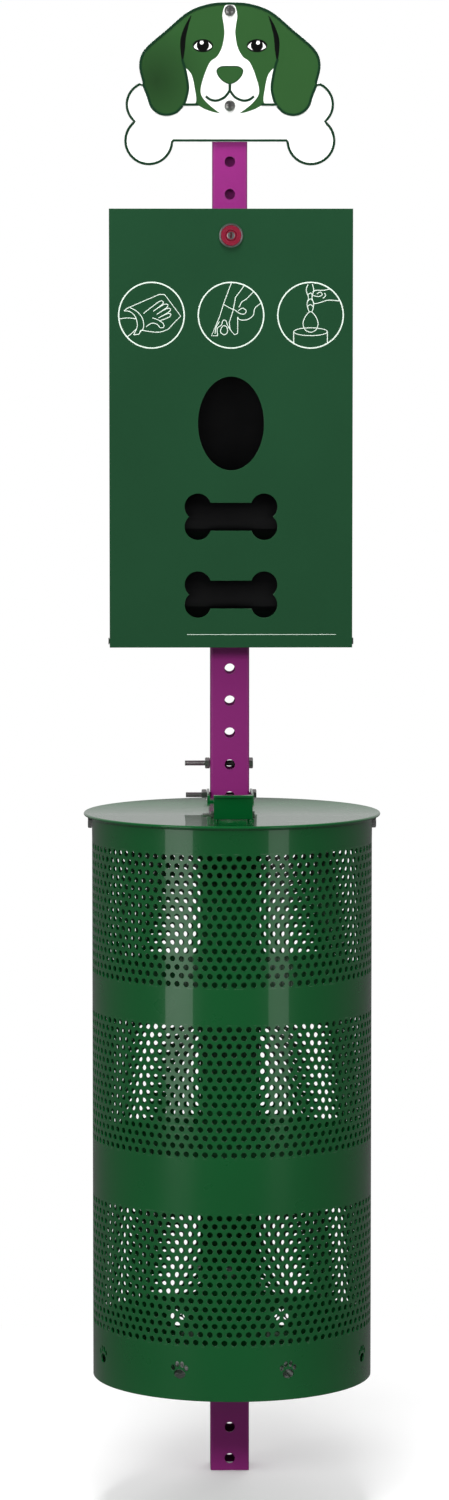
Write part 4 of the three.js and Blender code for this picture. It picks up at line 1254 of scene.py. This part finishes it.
def make_rolls():
    for word in ("upper", "lower"):
        body = f"{word}_roll"
        roll, core, spindle = f"{word}_bag_roll", f"{word}_roll_core", f"{word}_spindle"
        at = centre(roll)
        radius = size(roll).z / 2
        half = size(roll).x / 2
        bore = size(core).z / 2 + 0.3 * MM
        stand_in(roll, roll_mesh(roll, radius, bore, half, at), body, FILM, 40)
        tail = tail_mesh(roll + "_tail", radius, half, at)
        finish_piece(object_from(roll + "_tail", tail), body, FILM, angle=60)
        tubes = ((core, 2.3 * MM, CARD, body), (spindle, 1.5 * MM, ZINC, "station"))
        for node, wall, material, owner in tubes:
            outer = size(node).z / 2
            length = size(node).x
            soft = 0.4 * MM
            outline = [(outer - wall, 0), (outer - soft, 0), (outer, soft), (outer, length - soft),
                       (outer - soft, length), (outer - wall, length)]
            tube = aimed(lathe(node, outline, 56), (1, 0, 0), (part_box(node)[0].x, at.y, at.z))
            stand_in(node, tube, owner, material)


def make_dispenser():
    fine_copy("dispenser_housing", "station", PANEL, 0.5 * MM)
    for node in ("left_roll_cradle", "right_roll_cradle", "dispenser_spacer"):
        fine_copy(node, "station", ZINC)
    for node in ("left_cover_pin", "right_cover_pin"):
        fine_copy(node, "station", ZINC, 0.3 * MM)
    make_cover()
    make_lock()
    make_hook()
    make_bag_pack()
    make_rolls()


# ---------------------------------------------------------------- stage

DAYLIGHT = 0.52
MIRROR_FRONT = 0.02
MIRROR_BACK = 0.5
FLOOR_GLOW = 0.12


def make_floor():
    """A white sweep that takes the soft shadow near the foot and fades to plain white away from it."""
    half = 12.0
    corners = [(-half, -half, 0), (half, -half, 0), (half, half, 0), (-half, half, 0)]
    floor = object_from("floor", mesh_from("floor", corners, [(0, 1, 2, 3)]))
    floor.location = (0, 0, cad_box[0].z - 0.5 * MM)
    n = Nodes(bpy.data.materials.new("floor"))
    seen = n.add("ShaderNodeLightPath").outputs["Is Camera Ray"]
    pale = n.mix(seen, linear(110, 110, 110), linear(253, 253, 253))
    surface = n.set(
        Base_Color=pale, Roughness=0.9, Specular_IOR_Level=0.0,
        Emission_Color=(1, 1, 1, 1), Emission_Strength=n.spread(seen, 0, FLOOR_GLOW))
    plain = n.mapped(n.distance((0, 0, 0)), 0.3, 1.0)
    glow = n.add("ShaderNodeEmission", {"Strength": n.spread(seen, FLOOR_GLOW, 1.0)}).outputs[0]
    blend = n.add("ShaderNodeMixShader", {0: plain, 1: n.shader.outputs[0], 2: glow}).outputs[0]
    n.tree.links.new(blend, n.tree.nodes["Material Output"].inputs["Surface"])
    floor.data.materials.append(surface)


def make_world():
    """White to the camera, dimmer as a light, and dark in front, so that reflections keep their colour."""
    world = bpy.data.worlds.new("studio")
    bpy.context.scene.world = world
    world.cycles.sampling_method = "NONE"       # so that glossy rays always meet the mirrored sky
    n = Nodes(world, "Generated")
    across = n.add("ShaderNodeSeparateXYZ", {0: n.place}).outputs["Y"]
    mirrored_sky = n.mapped(across, -0.25, 0.75, MIRROR_FRONT, MIRROR_BACK)
    path = n.add("ShaderNodeLightPath").outputs
    light = n.number(path["Is Glossy Ray"], DAYLIGHT, mirrored_sky)
    n.set(Color=(1, 1, 1, 1), Strength=n.number(path["Is Camera Ray"], light, 1.0))


def area_light(name, place, target, width, height, power, glossy=True):
    light = bpy.data.lights.new(name, "AREA")
    light.shape = "RECTANGLE"
    light.size = width
    light.size_y = height
    light.energy = power
    holder = bpy.data.objects.new(name, light)
    bpy.context.scene.collection.objects.link(holder)
    holder.location = place
    holder.rotation_euler = (Vector(target) - Vector(place)).to_track_quat("-Z", "Y").to_euler()
    holder.visible_glossy = glossy


def strip_light(name, azimuth, width, power):
    """A tall soft light in front of the station, at an angle to one side of the camera."""
    angle = math.radians(azimuth)
    distance, middle = 3.0, 1.1
    place = (distance * math.sin(angle), CAN_Y - distance * math.cos(angle), middle)
    area_light(name, place, (0, CAN_Y, middle), width, 3.2, power)


def make_lights():
    strip_light("left_strip", -44, 1.25, 17)
    strip_light("right_strip", 36.8, 0.9, 8)
    area_light("key", (-0.4, CAN_Y - 3.4, 1.6), (0, CAN_Y, 1.1), 1.6, 0.35, 56, glossy=False)
    area_light("overhead", (-0.1, CAN_Y - 0.7, 3.6), (0, CAN_Y, 0), 0.8, 0.8, 75, glossy=False)
    area_light("back_fill", (0.8, POST_Y + 3.4, 2.0), (0, CAN_Y, 0.9), 2.0, 2.0, 30, glossy=False)


def make_camera():
    """Level with the dispenser, a little to the left of straight ahead, tilted slightly down."""
    turn = math.radians(0.8)
    tilt = math.radians(5)
    distance = 5.7
    aside = 5.8 * MM
    camera = bpy.data.cameras.new("camera")
    camera.sensor_width = 36
    camera.lens = 118.5
    holder = bpy.data.objects.new("camera", camera)
    bpy.context.scene.collection.objects.link(holder)
    forward = Vector((math.sin(turn), math.cos(turn), 0))
    right = Vector((math.cos(turn), -math.sin(turn), 0))
    height = 1341.9 * MM
    holder.location = Vector((0, POST_Y, height)) - forward * distance - right * aside
    look = forward * math.cos(tilt) - UP * math.sin(tilt)
    holder.rotation_euler = look.to_track_quat("-Z", "Y").to_euler()
    bpy.context.scene.camera = holder
    bpy.context.scene.view_settings.view_transform = "Standard"


make_posts()
make_sign()
make_can()
make_lid()
make_dispenser()
make_fasteners()
make_floor()
make_world()
make_lights()
make_camera()
